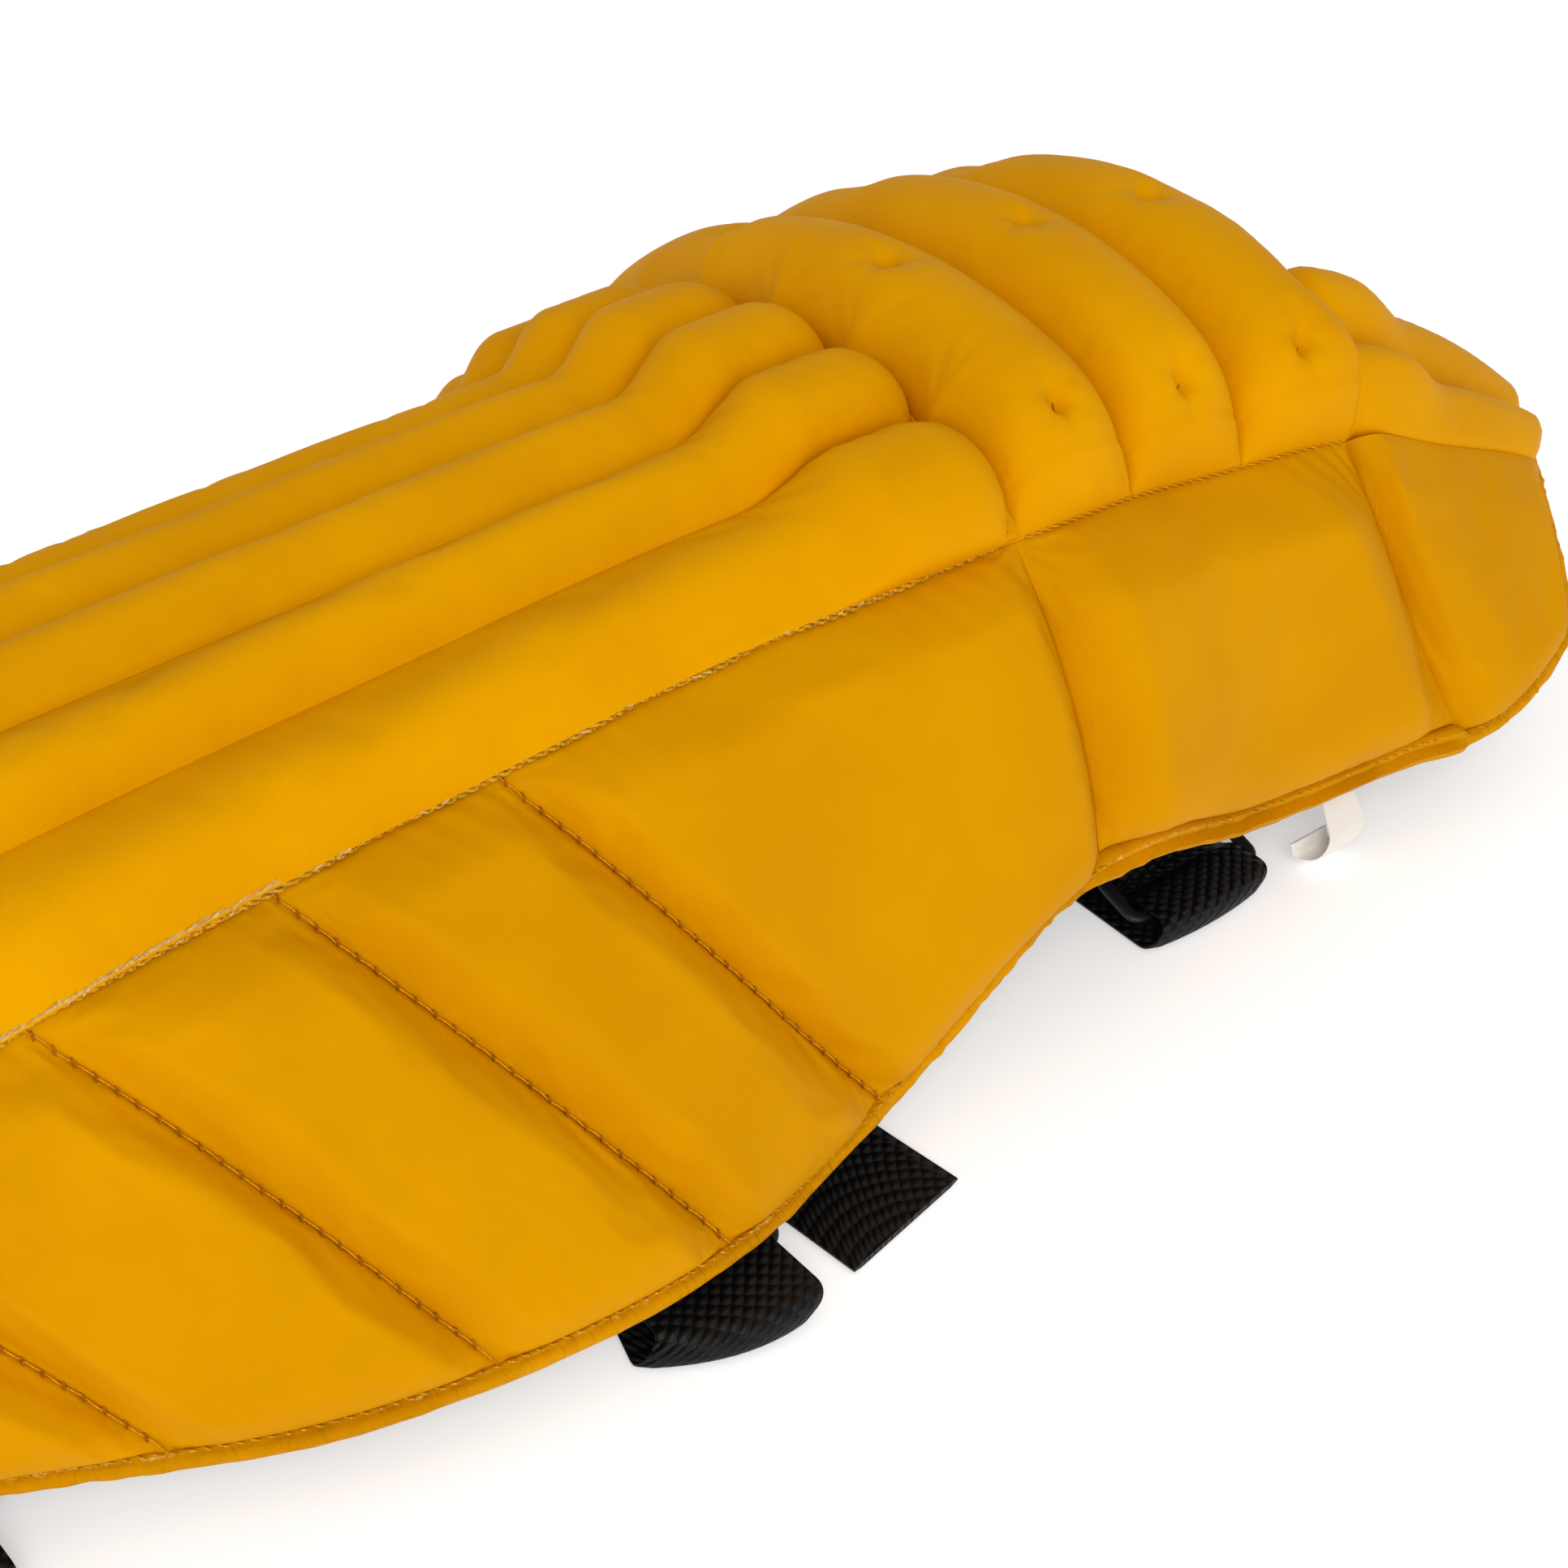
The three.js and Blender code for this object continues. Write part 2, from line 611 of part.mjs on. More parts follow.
// The origin is under the middle of the pad, on the floor
const pad = new THREE.Group();
pad.add(shell, straps);
const box = new THREE.Box3().setFromObject(pad, true);
pad.position.set(-(box.min.x + box.max.x) / 2, -(box.min.y + box.max.y) / 2, -box.min.z);

export default pad;
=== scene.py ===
import math
import random

import bmesh
import bpy
import numpy as np
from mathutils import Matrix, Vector


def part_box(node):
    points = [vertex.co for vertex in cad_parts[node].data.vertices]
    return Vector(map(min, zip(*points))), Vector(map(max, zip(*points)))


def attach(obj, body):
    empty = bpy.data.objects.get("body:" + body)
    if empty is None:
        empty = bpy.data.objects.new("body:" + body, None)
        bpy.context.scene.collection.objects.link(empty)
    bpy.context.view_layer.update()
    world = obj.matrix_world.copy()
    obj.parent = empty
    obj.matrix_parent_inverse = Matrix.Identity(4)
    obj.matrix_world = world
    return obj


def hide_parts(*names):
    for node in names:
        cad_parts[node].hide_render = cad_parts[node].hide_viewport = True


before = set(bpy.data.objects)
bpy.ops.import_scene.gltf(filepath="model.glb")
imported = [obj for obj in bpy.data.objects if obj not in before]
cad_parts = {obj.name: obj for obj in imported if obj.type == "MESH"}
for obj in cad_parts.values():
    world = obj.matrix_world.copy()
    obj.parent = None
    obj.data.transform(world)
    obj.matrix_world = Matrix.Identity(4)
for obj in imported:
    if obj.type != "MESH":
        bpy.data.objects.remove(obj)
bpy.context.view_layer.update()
mm = 0.001
print("frame loaded")

# the pad's own measures in millimetres: s from foot to top, t across the face, h out from the lining
pad = {
    "shin": 400.0,
    "roll": 46.0,
    "kneeTop": 538.0,
    "length": 683.0,
    "archRise": 62.0,
    "archHalf": 112.0,
    "footGap": 2.5,
    "cornerDrop": 38.0,
    "cornerReach": 110.0,
    "turn": math.radians(18),  # the pad lies turned towards its short inner wing
    "crest": 144.0,
    "cornerBlend": 9.0,        # the filling turns round the rib seam over this much on each side
    "lining": 3.0,
    "outerShare": 0.25,        # across the lining, the shares where the outer wing ends and the inner begins
    "innerShare": 0.85,
}
sectionTable = {
    "s": [0, 80, 160, 240, 320, 400, 470, 538, 600, 683],
    "radius": [98, 100, 103, 110, 137, 155, 126, 132, 126, 150],
    "half": [116, 112, 106, 104, 107, 114, 111, 113, 106, 85],
    "seamSlope": [90, 92, 76, 72, 83, 72, 82, 82, 76, 65],
    "edgeSlope": [90, 92, 77, 74, 88, 103, 98, 97, 84, 68],
    "outer": [61, 92, 118, 129, 127, 93, 99, 96, 79, 25],
    "innerSlope": [40, 39, 38, 38, 37, 36, 31, 26, 27, 28],
    "inner": [50, 60, 68, 72, 73, 72, 74, 66, 46, 14],
}
bendTable = {"s": [440, 470, 505, 538, 560, 600, 650], "degrees": [0, 6, 6, 16, 27, 36, 46]}
shinRibWidths = [36, 31, 31, 31, 31, 31, 36]
topRibWidths = [24, 33, 37, 38, 37, 33, 24]
outerSeams = [(0, 0), (46, 120), (122, 193), (185, 260), (247, 323), (400, 406)]  # rib s, edge s
innerSeams = [(0, 0), (110, 110), (205, 205), (300, 300), (400, 400)]
sideSeams = ((-1, "outer", outerSeams), (1, "inner", innerSeams))
kneeReach = {-1: 576, 1: 538}  # where each knee side panel ends at its edge, outer and inner


def smooth(x):
    x = np.clip(x, 0, 1)
    return x * x * (3 - 2 * x)


def mix(a, b, x):
    return a + (b - a) * x


def unit(vectors):
    return vectors / np.linalg.norm(vectors, axis=-1)[..., None]


# vectors of metres, each so many millimetres long
def scaled(directions, lengths):
    return directions * (lengths * mm)[:, None]


def nearest(places):
    return np.round(places).astype(int)


# a column of the sections at s, smooth through its rows
def column(name, s):
    xs = np.array(sectionTable["s"], float)
    ys = np.array(sectionTable[name], float)
    s = np.clip(s, xs[0], xs[-1])
    place = np.arange(len(xs))
    before = np.maximum(place - 1, 0)
    after = np.minimum(place + 1, len(xs) - 1)
    slopes = (ys[after] - ys[before]) / (xs[after] - xs[before])
    i = np.clip(np.searchsorted(xs, s, side="right") - 1, 0, len(xs) - 2)
    span = xs[i + 1] - xs[i]
    x = (s - xs[i]) / span
    leave = x * (1 - x) ** 2 * span * slopes[i]
    arrive = x * x * (1 - x) * span * slopes[i + 1]
    return ys[i] + (ys[i + 1] - ys[i]) * smooth(x) + leave - arrive


def bendAt(s):
    return np.radians(np.interp(s, bendTable["s"], bendTable["degrees"]))


spineS = np.arange(bendTable["s"][0], pad["length"] + 1.0, 1.0)
spineMiddle = bendAt(spineS[:-1] + 0.5)
spineX = spineS[0] + np.concatenate([[0], np.cumsum(np.cos(spineMiddle))])
spineZ = -np.concatenate([[0], np.cumsum(np.sin(spineMiddle))])


# millimetre points of the pad's shell, lying as it does on the floor
def shellPoint(s, t, h):
    s, t, h = np.broadcast_arrays(np.asarray(s, float), np.asarray(t, float), np.asarray(h, float))
    radius = column("radius", s)
    half = column("half", s)
    across = np.abs(t)
    angle = np.minimum(across, half) / radius
    wing = np.maximum(across - half, 0)
    near = t < 0
    seam = np.radians(np.where(near, column("seamSlope", s), column("innerSlope", s)))
    edge = np.radians(np.where(near, column("edgeSlope", s), column("innerSlope", s)))
    width = np.where(near, column("outer", s), column("inner", s))
    wingSlope = seam + (edge - seam) * wing / width
    middle = (seam + wingSlope) / 2
    hang = smooth((across - half) / (2 * pad["cornerBlend"]) + 0.5)  # the wings don't tilt with the face
    slope = np.where(wing > 0, wingSlope, angle)
    slope = np.where(np.abs(across - half) < pad["cornerBlend"], mix(half / radius, seam, hang), slope)
    out = radius * np.sin(angle) + wing * np.cos(middle)
    y = np.where(near, -1, 1) * (out + h * np.sin(slope))
    faceDown = radius * (1 - np.cos(angle)) - h * np.cos(slope) * (1 - hang)
    wingDown = wing * np.sin(middle) - h * np.cos(slope) * hang
    bend = bendAt(s)
    straight = np.minimum(s, spineS[0])
    x = straight - spineS[0] + np.interp(s, spineS, spineX) - faceDown * np.sin(bend)
    z = np.interp(s, spineS, spineZ) - faceDown * np.cos(bend) - wingDown
    turn = pad["turn"]
    level = y * math.cos(turn) + z * math.sin(turn)
    height = z * math.cos(turn) - y * math.sin(turn) + pad["crest"]
    return np.stack([x, level, height], -1)


def halfAt(s):
    return column("half", s)


def outerEdge(s):
    return -(halfAt(s) + column("outer", s))


def innerEdge(s):
    return halfAt(s) + column("inner", s)


def edgeAt(side, s):
    return outerEdge(s) if side < 0 else innerEdge(s)


def footAt(t):
    arch = np.cos(np.pi * np.clip(t / pad["archHalf"], -1, 1) / 2) ** 2
    return pad["archRise"] * arch


def topAt(t):
    return pad["length"] - pad["cornerDrop"] * np.minimum((t / pad["cornerReach"]) ** 2, 1)


# the whole outline from foot to top and edge to edge, u and v from 0 to 1
def outlineAt(u, v):
    first, last = pad["outerShare"], pad["innerShare"]

    def acrossAt(s):
        half = halfAt(s)
        outer = mix(outerEdge(s), -half, np.clip(v / first, 0, 1))
        face = mix(-half, half, np.clip((v - first) / (last - first), 0, 1))
        inner = mix(half, innerEdge(s), np.clip((v - last) / (1 - last), 0, 1))
        return np.where(v < first, outer, np.where(v > last, inner, face))

    rough = acrossAt(u * pad["length"])
    s = mix(footAt(rough), topAt(rough), u)
    return s, acrossAt(s)


# the frame's origin is under the middle of the pad's box, so the lining's own box gives the shift to it
boxSteps = {"along": 89, "across": 81}
gridU, gridV = np.meshgrid(np.linspace(0, 1, boxSteps["along"]), np.linspace(0, 1, boxSteps["across"]))
boxPlaces = outlineAt(gridU.ravel(), gridV.ravel())
ownPoints = np.concatenate([shellPoint(*boxPlaces, -pad["lining"]), shellPoint(*boxPlaces, 0.0)])
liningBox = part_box("back_lining")
liningMiddle = (np.array(liningBox[0]) + np.array(liningBox[1])) / 2 / mm
shift = liningMiddle - (ownPoints.min(0) + ownPoints.max(0)) / 2
shift[2] = 0
print("shift to the frame", shift)


def onPad(s, t, h):
    return (shellPoint(s, t, h) + shift) * mm


# seeded value noise, smooth, up and down by a height over patches of a size in millimetres
def patchNoise(s, t, height, size, seed):
    cells = 64
    lattice = np.random.default_rng(seed).uniform(-1, 1, (cells, cells))
    x, y = s / size, t / size
    ix, iy = np.floor(x).astype(int), np.floor(y).astype(int)
    fx, fy = smooth(x - ix), smooth(y - iy)
    low = mix(lattice[ix % cells, iy % cells], lattice[(ix + 1) % cells, iy % cells], fx)
    high = mix(lattice[ix % cells, (iy + 1) % cells], lattice[(ix + 1) % cells, (iy + 1) % cells], fx)
    return height * mix(low, high, fy)


# a quarter round that stands up from a seam over a width
def seamRound(distance, width):
    x = np.clip(distance / width, 0, 1)
    return np.sqrt(1 - (1 - x) ** 2)


# a flat facet that leans away from a seam and rounds off at its far end
def seamFacet(distance, width):
    x = np.clip(distance / width, 0, 1)
    return (4 * x - x ** 4) / 3


def closest(*distances):
    return np.maximum(np.minimum.reduce(distances), 0)


def hump(distance, reach):
    return np.exp(-(distance / reach) ** 2)


# grid lines drawn closer together towards both ends
def bunch(x, share):
    return x - share * np.sin(2 * np.pi * x) / (2 * np.pi)


def linearColour(code):
    channels = [int(code[i:i + 2], 16) / 255 for i in (1, 3, 5)]
    return [c / 12.92 if c <= 0.04045 else ((c + 0.055) / 1.055) ** 2.4 for c in channels] + [1.0]


def addNode(tree, kind, settings, links=None):
    node = tree.nodes.new("ShaderNode" + kind)
    for key, value in settings.items():
        if isinstance(key, int) or key in node.inputs:
            node.inputs[key].default_value = value
        else:
            setattr(node, key, value)
    for key, source in (links or {}).items():
        tree.links.new(source, node.inputs[key])
    return node


def newMaterial(name):
    material = bpy.data.materials.new(name)
    material.use_nodes = True
    tree = material.node_tree
    return material, tree, tree.nodes["Principled BSDF"]


# colour from one pattern, relief from another, and what is the same all over on the shader's own sockets
def dress(tree, shader, style, shades, heights):
    tone = addNode(tree, "ValToRGB", {}, {"Fac": shades})
    for element, key, place in zip(tone.color_ramp.elements, ("dark", "light"), style["ramp"]):
        element.position = place
        element.color = linearColour(style[key])
    bump = addNode(tree, "Bump", {"Strength": style["relief"], "Distance": style["depth"]},
                   {"Height": heights})
    tree.links.new(tone.outputs["Color"], shader.inputs["Base Color"])
    tree.links.new(bump.outputs["Normal"], shader.inputs["Normal"])
    for socket, value in style["surface"].items():
        shader.inputs[socket].default_value = value


leatherStyle = {
    "colour": "#e29d00", "shade": "#da9500", "worn": "#dab85c",
    "toneRamp": (0.35, 0.65), "wornRamp": (0.50, 0.62),
    "blotch": 0.045, "scuff": 0.0035, "grain": 0.0009, "grainDepth": 0.00012, "grainRelief": 0.35,
    "creaseScale": (1 / 0.0022, 1 / 0.018, 1.0), "creaseDepth": 0.0005, "creaseRelief": 0.8,
    "rough": 0.55, "smoother": 0.06, "rougher": 0.08,
    "surface": {"Specular IOR Level": 0.035, "Specular Tint": linearColour("#ffc860")},
}


# PU-coated leather, pressed with a fine grain: satin, saturated, creased near its seams
def makeLeather(name, style):
    material, tree, shader = newMaterial(name)
    place = addNode(tree, "TexCoord", {})
    cut = addNode(tree, "UVMap", {"uv_map": "cut"})
    pull = addNode(tree, "Attribute", {"attribute_name": "pull"})
    wear = addNode(tree, "Attribute", {"attribute_name": "wear"})
    blotch = addNode(tree, "TexNoise", {"Scale": 1 / style["blotch"], "Detail": 4.0},
                     {"Vector": place.outputs["Object"]})
    tone = addNode(tree, "ValToRGB", {}, {"Fac": blotch.outputs["Fac"]})
    scuff = addNode(tree, "TexNoise", {"Scale": 1 / style["scuff"], "Detail": 6.0, "Roughness": 0.7},
                    {"Vector": place.outputs["Object"]})
    scuffed = addNode(tree, "Math", {"operation": "MULTIPLY"},
                      {0: scuff.outputs["Fac"], 1: wear.outputs["Fac"]})
    bare = addNode(tree, "ValToRGB", {}, {"Fac": scuffed.outputs[0]})
    for ramp, places, codes in ((tone, "toneRamp", (style["shade"], style["colour"])),
                                (bare, "wornRamp", ("#000000", "#ffffff"))):
        for element, at, code in zip(ramp.color_ramp.elements, style[places], codes):
            element.position = at
            element.color = linearColour(code)
    colour = addNode(tree, "Mix", {"data_type": "RGBA", 7: linearColour(style["worn"])},
                     {0: bare.outputs["Color"], 6: tone.outputs["Color"]})
    tree.links.new(colour.outputs[2], shader.inputs["Base Color"])
    grain = addNode(tree, "TexVoronoi", {"Scale": 1 / style["grain"], "feature": "F1"},
                    {"Vector": place.outputs["Object"]})
    pores = addNode(tree, "Bump", {"Strength": style["grainRelief"], "Distance": style["grainDepth"]},
                    {"Height": grain.outputs["Distance"]})
    stretch = addNode(tree, "Mapping", {"Scale": style["creaseScale"]}, {"Vector": cut.outputs["UV"]})
    crease = addNode(tree, "TexNoise", {"Scale": 1.0, "Detail": 3.0, "Distortion": 0.6},
                     {"Vector": stretch.outputs["Vector"]})
    creased = addNode(tree, "Math", {"operation": "MULTIPLY"},
                      {0: crease.outputs["Fac"], 1: pull.outputs["Fac"]})
    creases = addNode(tree, "Bump", {"Strength": style["creaseRelief"], "Distance": style["creaseDepth"]},
                      {"Height": creased.outputs[0], "Normal": pores.outputs["Normal"]})
    tree.links.new(creases.outputs["Normal"], shader.inputs["Normal"])
    limits = {"To Min": style["rough"] - style["smoother"], "To Max": style["rough"] + style["rougher"]}
    rough = addNode(tree, "MapRange", limits, {"Value": scuff.outputs["Fac"]})
    tree.links.new(rough.outputs["Result"], shader.inputs["Roughness"])
    for socket, value in style["surface"].items():
        shader.inputs[socket].default_value = value
    return material


leather = makeLeather("puLeatherGrained", leatherStyle)
# a darker copy of the same leather for the wings and side panels: painted shade
sideLeatherPaintedShade = makeLeather("puLeatherSidesPaintedShade", dict(leatherStyle, colour="#d59200", shade="#cd8b00"))
bindingStyle = dict(leatherStyle, colour="#d69204", shade="#c08000", rough=0.5, creaseDepth=0.0014)
bindingLeather = makeLeather("puLeatherFolded", bindingStyle)

liningStyle = {
    "knit": 0.0016, "cloud": 0.03, "dark": "#101010", "light": "#1d1d1d", "ramp": (0.0, 1.0),
    "relief": 0.5, "depth": 0.0003,
    "surface": {"Roughness": 0.78, "Specular IOR Level": 0.25, "Sheen Weight": 0.08},
}


# brushed nylon knit over foam: matt black, faint fuzz
def makeLining(style):
    material, tree, shader = newMaterial("nylonKnitBlack")
    place = addNode(tree, "TexCoord", {})
    knit = addNode(tree, "TexVoronoi", {"Scale": 1 / style["knit"]}, {"Vector": place.outputs["Object"]})
    cloud = addNode(tree, "TexNoise", {"Scale": 1 / style["cloud"], "Detail": 3.0},
                    {"Vector": place.outputs["Object"]})
    dress(tree, shader, style, cloud.outputs["Fac"], knit.outputs["Distance"])
    return material


webbingStyle = {
    "loop": 0.0032, "turn": math.radians(45), "uneven": 0.12, "dark": "#020202", "light": "#0e0e0e",
    "ramp": (0.0, 1.0), "relief": 1.0, "depth": 0.0008,
    "surface": {"Roughness": 0.5, "Specular IOR Level": 0.24},
}


# woven polypropylene webbing: close rows of round raised loops, dull with small glints, with painted
# highlights on the loops' tops
def makeWebbing(style):
    material, tree, shader = newMaterial("polypropyleneWebbing")
    cut = addNode(tree, "UVMap", {"uv_map": "cut"})
    scale = 1 / style["loop"], 1 / style["loop"], 1.0
    turned = addNode(tree, "Mapping", {"Scale": scale, "Rotation": (0, 0, style["turn"])},
                     {"Vector": cut.outputs["UV"]})
    loops = addNode(tree, "TexVoronoi",
                    {"voronoi_dimensions": "2D", "Scale": 1.0, "Randomness": style["uneven"]},
                    {"Vector": turned.outputs["Vector"]})
    domesAndPaintedHighlight = addNode(tree, "MapRange", {"From Min": 0.1, "From Max": 0.6, "To Min": 1.0, "To Max": 0.0},
                    {"Value": loops.outputs["Distance"]})
    # the domes give the relief and also the colour: lighter on the loops' tops and darker between them, a
    # painted highlight and painted shade
    dress(tree, shader, style, domesAndPaintedHighlight.outputs["Result"], domesAndPaintedHighlight.outputs["Result"])
    return material


# a plain stuff with one fine noise for both shade and relief
def makeSpeckled(name, style):
    material, tree, shader = newMaterial(name)
    place = addNode(tree, "TexCoord", {})
    speck = addNode(tree, "TexNoise", {"Scale": 1 / style["speck"], "Detail": style["detail"]},
                    {"Vector": place.outputs["Object"]})
    dress(tree, shader, style, speck.outputs["Fac"], speck.outputs["Fac"])
    return material


# moulded acetal: black, satin, with a faint mould texture
plasticStyle = {
    "speck": 0.0006, "detail": 2.0, "dark": "#070708", "light": "#0f0f11", "ramp": (0.0, 1.0),
    "relief": 0.2, "depth": 0.0001, "surface": {"Roughness": 0.5},
}
tapeStyle = {
    "rib": 0.0007, "length": 0.004, "dark": "#e4e0d8", "light": "#f2efe9", "ramp": (0.0, 1.0),
    "relief": 0.3, "depth": 0.0002, "surface": {"Roughness": 0.6},
}


# woven satin tape for the label: white with a faint rib
def makeTape(style):
    material, tree, shader = newMaterial("satinTapeWhite")
    cut = addNode(tree, "UVMap", {"uv_map": "cut"})
    fine = addNode(tree, "Mapping", {"Scale": (1 / style["rib"], 1 / style["length"], 1.0)},
                   {"Vector": cut.outputs["UV"]})
    rib = addNode(tree, "TexNoise", {"Scale": 1.0, "Detail": 2.0}, {"Vector": fine.outputs["Vector"]})
    dress(tree, shader, style, rib.outputs["Fac"], rib.outputs["Fac"])
    return material


# bonded polyester thread: plied, slightly glossy
def makeThread(name, light, dark, gloss):
    return makeSpeckled(name, {
        "speck": 0.0009, "detail": 3.0, "dark": dark, "light": light, "ramp": (0.35, 0.62),
        "relief": 0.6, "depth": 0.0002, "surface": {"Roughness": 0.55, "Specular IOR Level": gloss},
    })


lining = makeLining(liningStyle)
webbing = makeWebbing(webbingStyle)
plastic = makeSpeckled("acetalMoulded", plasticStyle)
tape = makeTape(tapeStyle)
cordThread = makeThread("polyesterThreadHeavy", "#dca018", "#9a6806", 0.2)
seamThread = makeThread("polyesterThreadSeam", "#e2a010", "#c28208", 0.1)
# dark thread for the tuft stitches; the same dark colour is painted shade in the wing seams' needle holes
holeShadeAndDarkThread = makeThread("polyesterThreadDarkAndHoleShade", "#b26a08", "#8a4e04", 0.1)
rawFibre = makeThread("rawFibrePale", "#e0c48c", "#c89e54", 0.1)
print("materials made")


# an open grid, to be placed by a formula of u and v
def ringGrid(along, around):
    bm = bmesh.new()
    bmesh.ops.create_grid(bm, x_segments=along, y_segments=around, size=0.5)
    return bm


# a closed slab, top over bottom, to be placed by a formula of u, v and w
def slab(along, across):
    bm = ringGrid(along, across)
    lifted = bmesh.ops.extrude_face_region(bm, geom=bm.faces[:])
    raised = [v for v in lifted["geom"] if isinstance(v, bmesh.types.BMVert)]
    bmesh.ops.translate(bm, verts=raised, vec=(0, 0, 1))
    bmesh.ops.recalc_face_normals(bm, faces=bm.faces[:])
    return bm


def vertexPlaces(mesh):
    flat = np.zeros(len(mesh.vertices) * 3)
    mesh.vertices.foreach_get("co", flat)
    return flat.reshape(-1, 3)


def addObject(name, data):
    thing = bpy.data.objects.new(name, data)
    bpy.context.scene.collection.objects.link(thing)
    return thing


def finishPiece(name, bm, material, node, place, sharp=50):
    mesh = bpy.data.meshes.new(name)
    bm.to_mesh(mesh)
    bm.free()
    flat = vertexPlaces(mesh)
    points, cut, marks = place(flat[:, 0] + 0.5, flat[:, 1] + 0.5, flat[:, 2])
    mesh.vertices.foreach_set("co", points.ravel())
    corners = np.zeros(len(mesh.loops), int)
    mesh.loops.foreach_get("vertex_index", corners)
    layer = mesh.uv_layers.new(name="cut")
    layer.data.foreach_set("uv", (cut[corners] * mm).ravel())
    for mark, values in marks.items():
        attribute = mesh.attributes.new(mark, "FLOAT", "POINT")
        attribute.data.foreach_set("value", np.broadcast_to(values, len(points)).astype(np.float32))
    mesh.shade_smooth()
    mesh.set_sharp_from_angle(angle=math.radians(sharp))
    mesh.update()
    mesh.materials.append(material)
    piece = addObject(name, mesh)
    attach(piece, "root")
    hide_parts(node)
    return piece


coverStyle = {
    "gap": 0.04,         # between one cover and the next
    "base": 1.2,         # underside of a cover over the lining
    "seam": 3.0,         # where a cover is sewn down
    "uneven": (0.3, 34.0),  # soft unevenness of the filling, height and size, full so far from a seam
    "full": 12.0,
    "pucker": 7.5,       # puckers along the seams: spacing, slant, depth, start and reach
    "puckerSlant": 0.6,
    "puckerDepth": 0.35,
    "puckerStart": 3.0,
    "puckerReach": 9.0,
    "wander": (3.0, 22.0),  # how uneven the puckers' spacing is, and how they come and go along a seam
    "change": (1.0, 40.0),
    "share": 0.5,
    "creaseStart": 2.0,  # fine creases beside a seam: start and reach
    "creaseReach": 5.0,
    "edge": 1.5,         # a cover's distance from the outline, and on the knee's outer side panel
    "kneeEdge": 4.8,
    "narrowest": 20.0,   # least width of a side panel when the slant of its seams is worked out
}
# where the outer rib seams meet the knee the cover is pulled into small folds round them
pullStyle = {
    "depth": 0.25, "reach": 13.0, "clear": 5.0, "folds": 11, "seams": 5, "wander": (2.0, 14.0),
}


def pullFolds(s, t, seed):
    style = pullStyle
    lift = np.zeros_like(s)
    for row, edge in enumerate(ribEdges[:style["seams"]]):
        ds, dt = s - pad["shin"], t - edge * halfAt(pad["shin"])
        far = np.hypot(ds, dt)
        wander = patchNoise(s, t, *style["wander"], seed + row)
        folds = np.cos(style["folds"] * np.arctan2(dt, ds) + row + wander)
        lift = lift + folds * hump(far, style["reach"]) * smooth(far / style["clear"])
    return style["depth"] * lift


# edges of the ribs as shares of the face's half arc
def ribShares(widths):
    return np.concatenate([[0], np.cumsum(widths)]) / sum(widths) * 2 - 1


ribEdges, topEdges = ribShares(shinRibWidths), ribShares(topRibWidths)
covers = []


# a padded cover laid out as a grid: area gives s and t, rise its height and how near its closest seam is
def cover(name, style, row, area, rise, material=leather):
    look = coverStyle
    along, across = style["grid"]
    seed = style["seed"] + row
    u, v = np.meshgrid(np.linspace(0, 1, along + 1), np.linspace(0, 1, across + 1), indexing="ij")
    u, v = bunch(u.ravel(), style["spread"][0]), bunch(v.ravel(), style["spread"][1])
    s, t = area(u, v)
    height, near = rise(u, v, s, t)
    height = height + smooth(near / look["full"]) * patchNoise(s, t, *look["uneven"], seed)
    wander = patchNoise(s, t, *look["wander"], seed + 1)
    wave = np.sin(2 * np.pi * (s + look["puckerSlant"] * t) / look["pucker"] + wander)
    strength = np.exp(-near / look["puckerReach"]) * smooth(near / look["puckerStart"])
    strength = strength * np.clip(look["share"] + patchNoise(s, t, *look["change"], seed + 2), 0, 1)
    folds = pullFolds(s, t, seed) * smooth(near / look["creaseStart"])
    height = height + look["puckerDepth"] * strength * wave + folds
    covers.append({
        "name": name, "size": style["grid"], "fill": style["fill"], "near": near, "cut": np.stack([s, t], -1),
        "material": material,
        "top": onPad(s, t, height), "base": onPad(s, t, look["base"]),
        "out": onPad(s, t, height + 1.0) - onPad(s, t, height),
    })


ribStyle = {
    "rise": 15.0, "power": 2.2, "lobeStart": 340, "lobeFull": 364, "lobeRise": 27.0, "lobeRound": 18.0,
    "endRound": 5.0,   # how far a lobe's corners stay back from the knee line
    "endPower": 2.5, "footRound": 9.0, "valley": 5.5, "lobeValley": 9.0,
    "soft": 0.45,      # how much the valleys between ribs are rounded out
    "grid": (200, 30), "spread": (0.5, 0.8), "fill": 0.8, "seed": 10,
}
kneeScallop = {"forward": 1.0, "back": 1.5, "power": 2.4}


# the ribs' rounded ends make a scalloped line where the knee rolls begin and end
def scallop(edges, s, t):
    share = np.clip(t / halfAt(s), -1, 1)
    index = np.clip(np.searchsorted(edges, share, side="right") - 1, 0, len(edges) - 2)
    place = (share - edges[index]) / (edges[index + 1] - edges[index])
    valley = np.abs(2 * place - 1) ** kneeScallop["power"]
    return mix(kneeScallop["forward"], -kneeScallop["back"], valley)


def kneeLine(t):
    return pad["shin"] + scallop(ribEdges, pad["shin"], t)


def topLine(t):
    return pad["kneeTop"] - scallop(topEdges, pad["kneeTop"], t)


def ribArea(edges, i, start, end):
    def area(u, v):
        share = mix(edges[i], edges[i + 1], v)
        rough = mix(start(0 * share), end(0 * share), u)
        across = halfAt(rough) * share
        s = mix(start(across), end(across), u)
        half = halfAt(s)
        gap = coverStyle["gap"]
        return s, mix(half * edges[i] + gap, half * edges[i + 1] - gap, v)

    return area


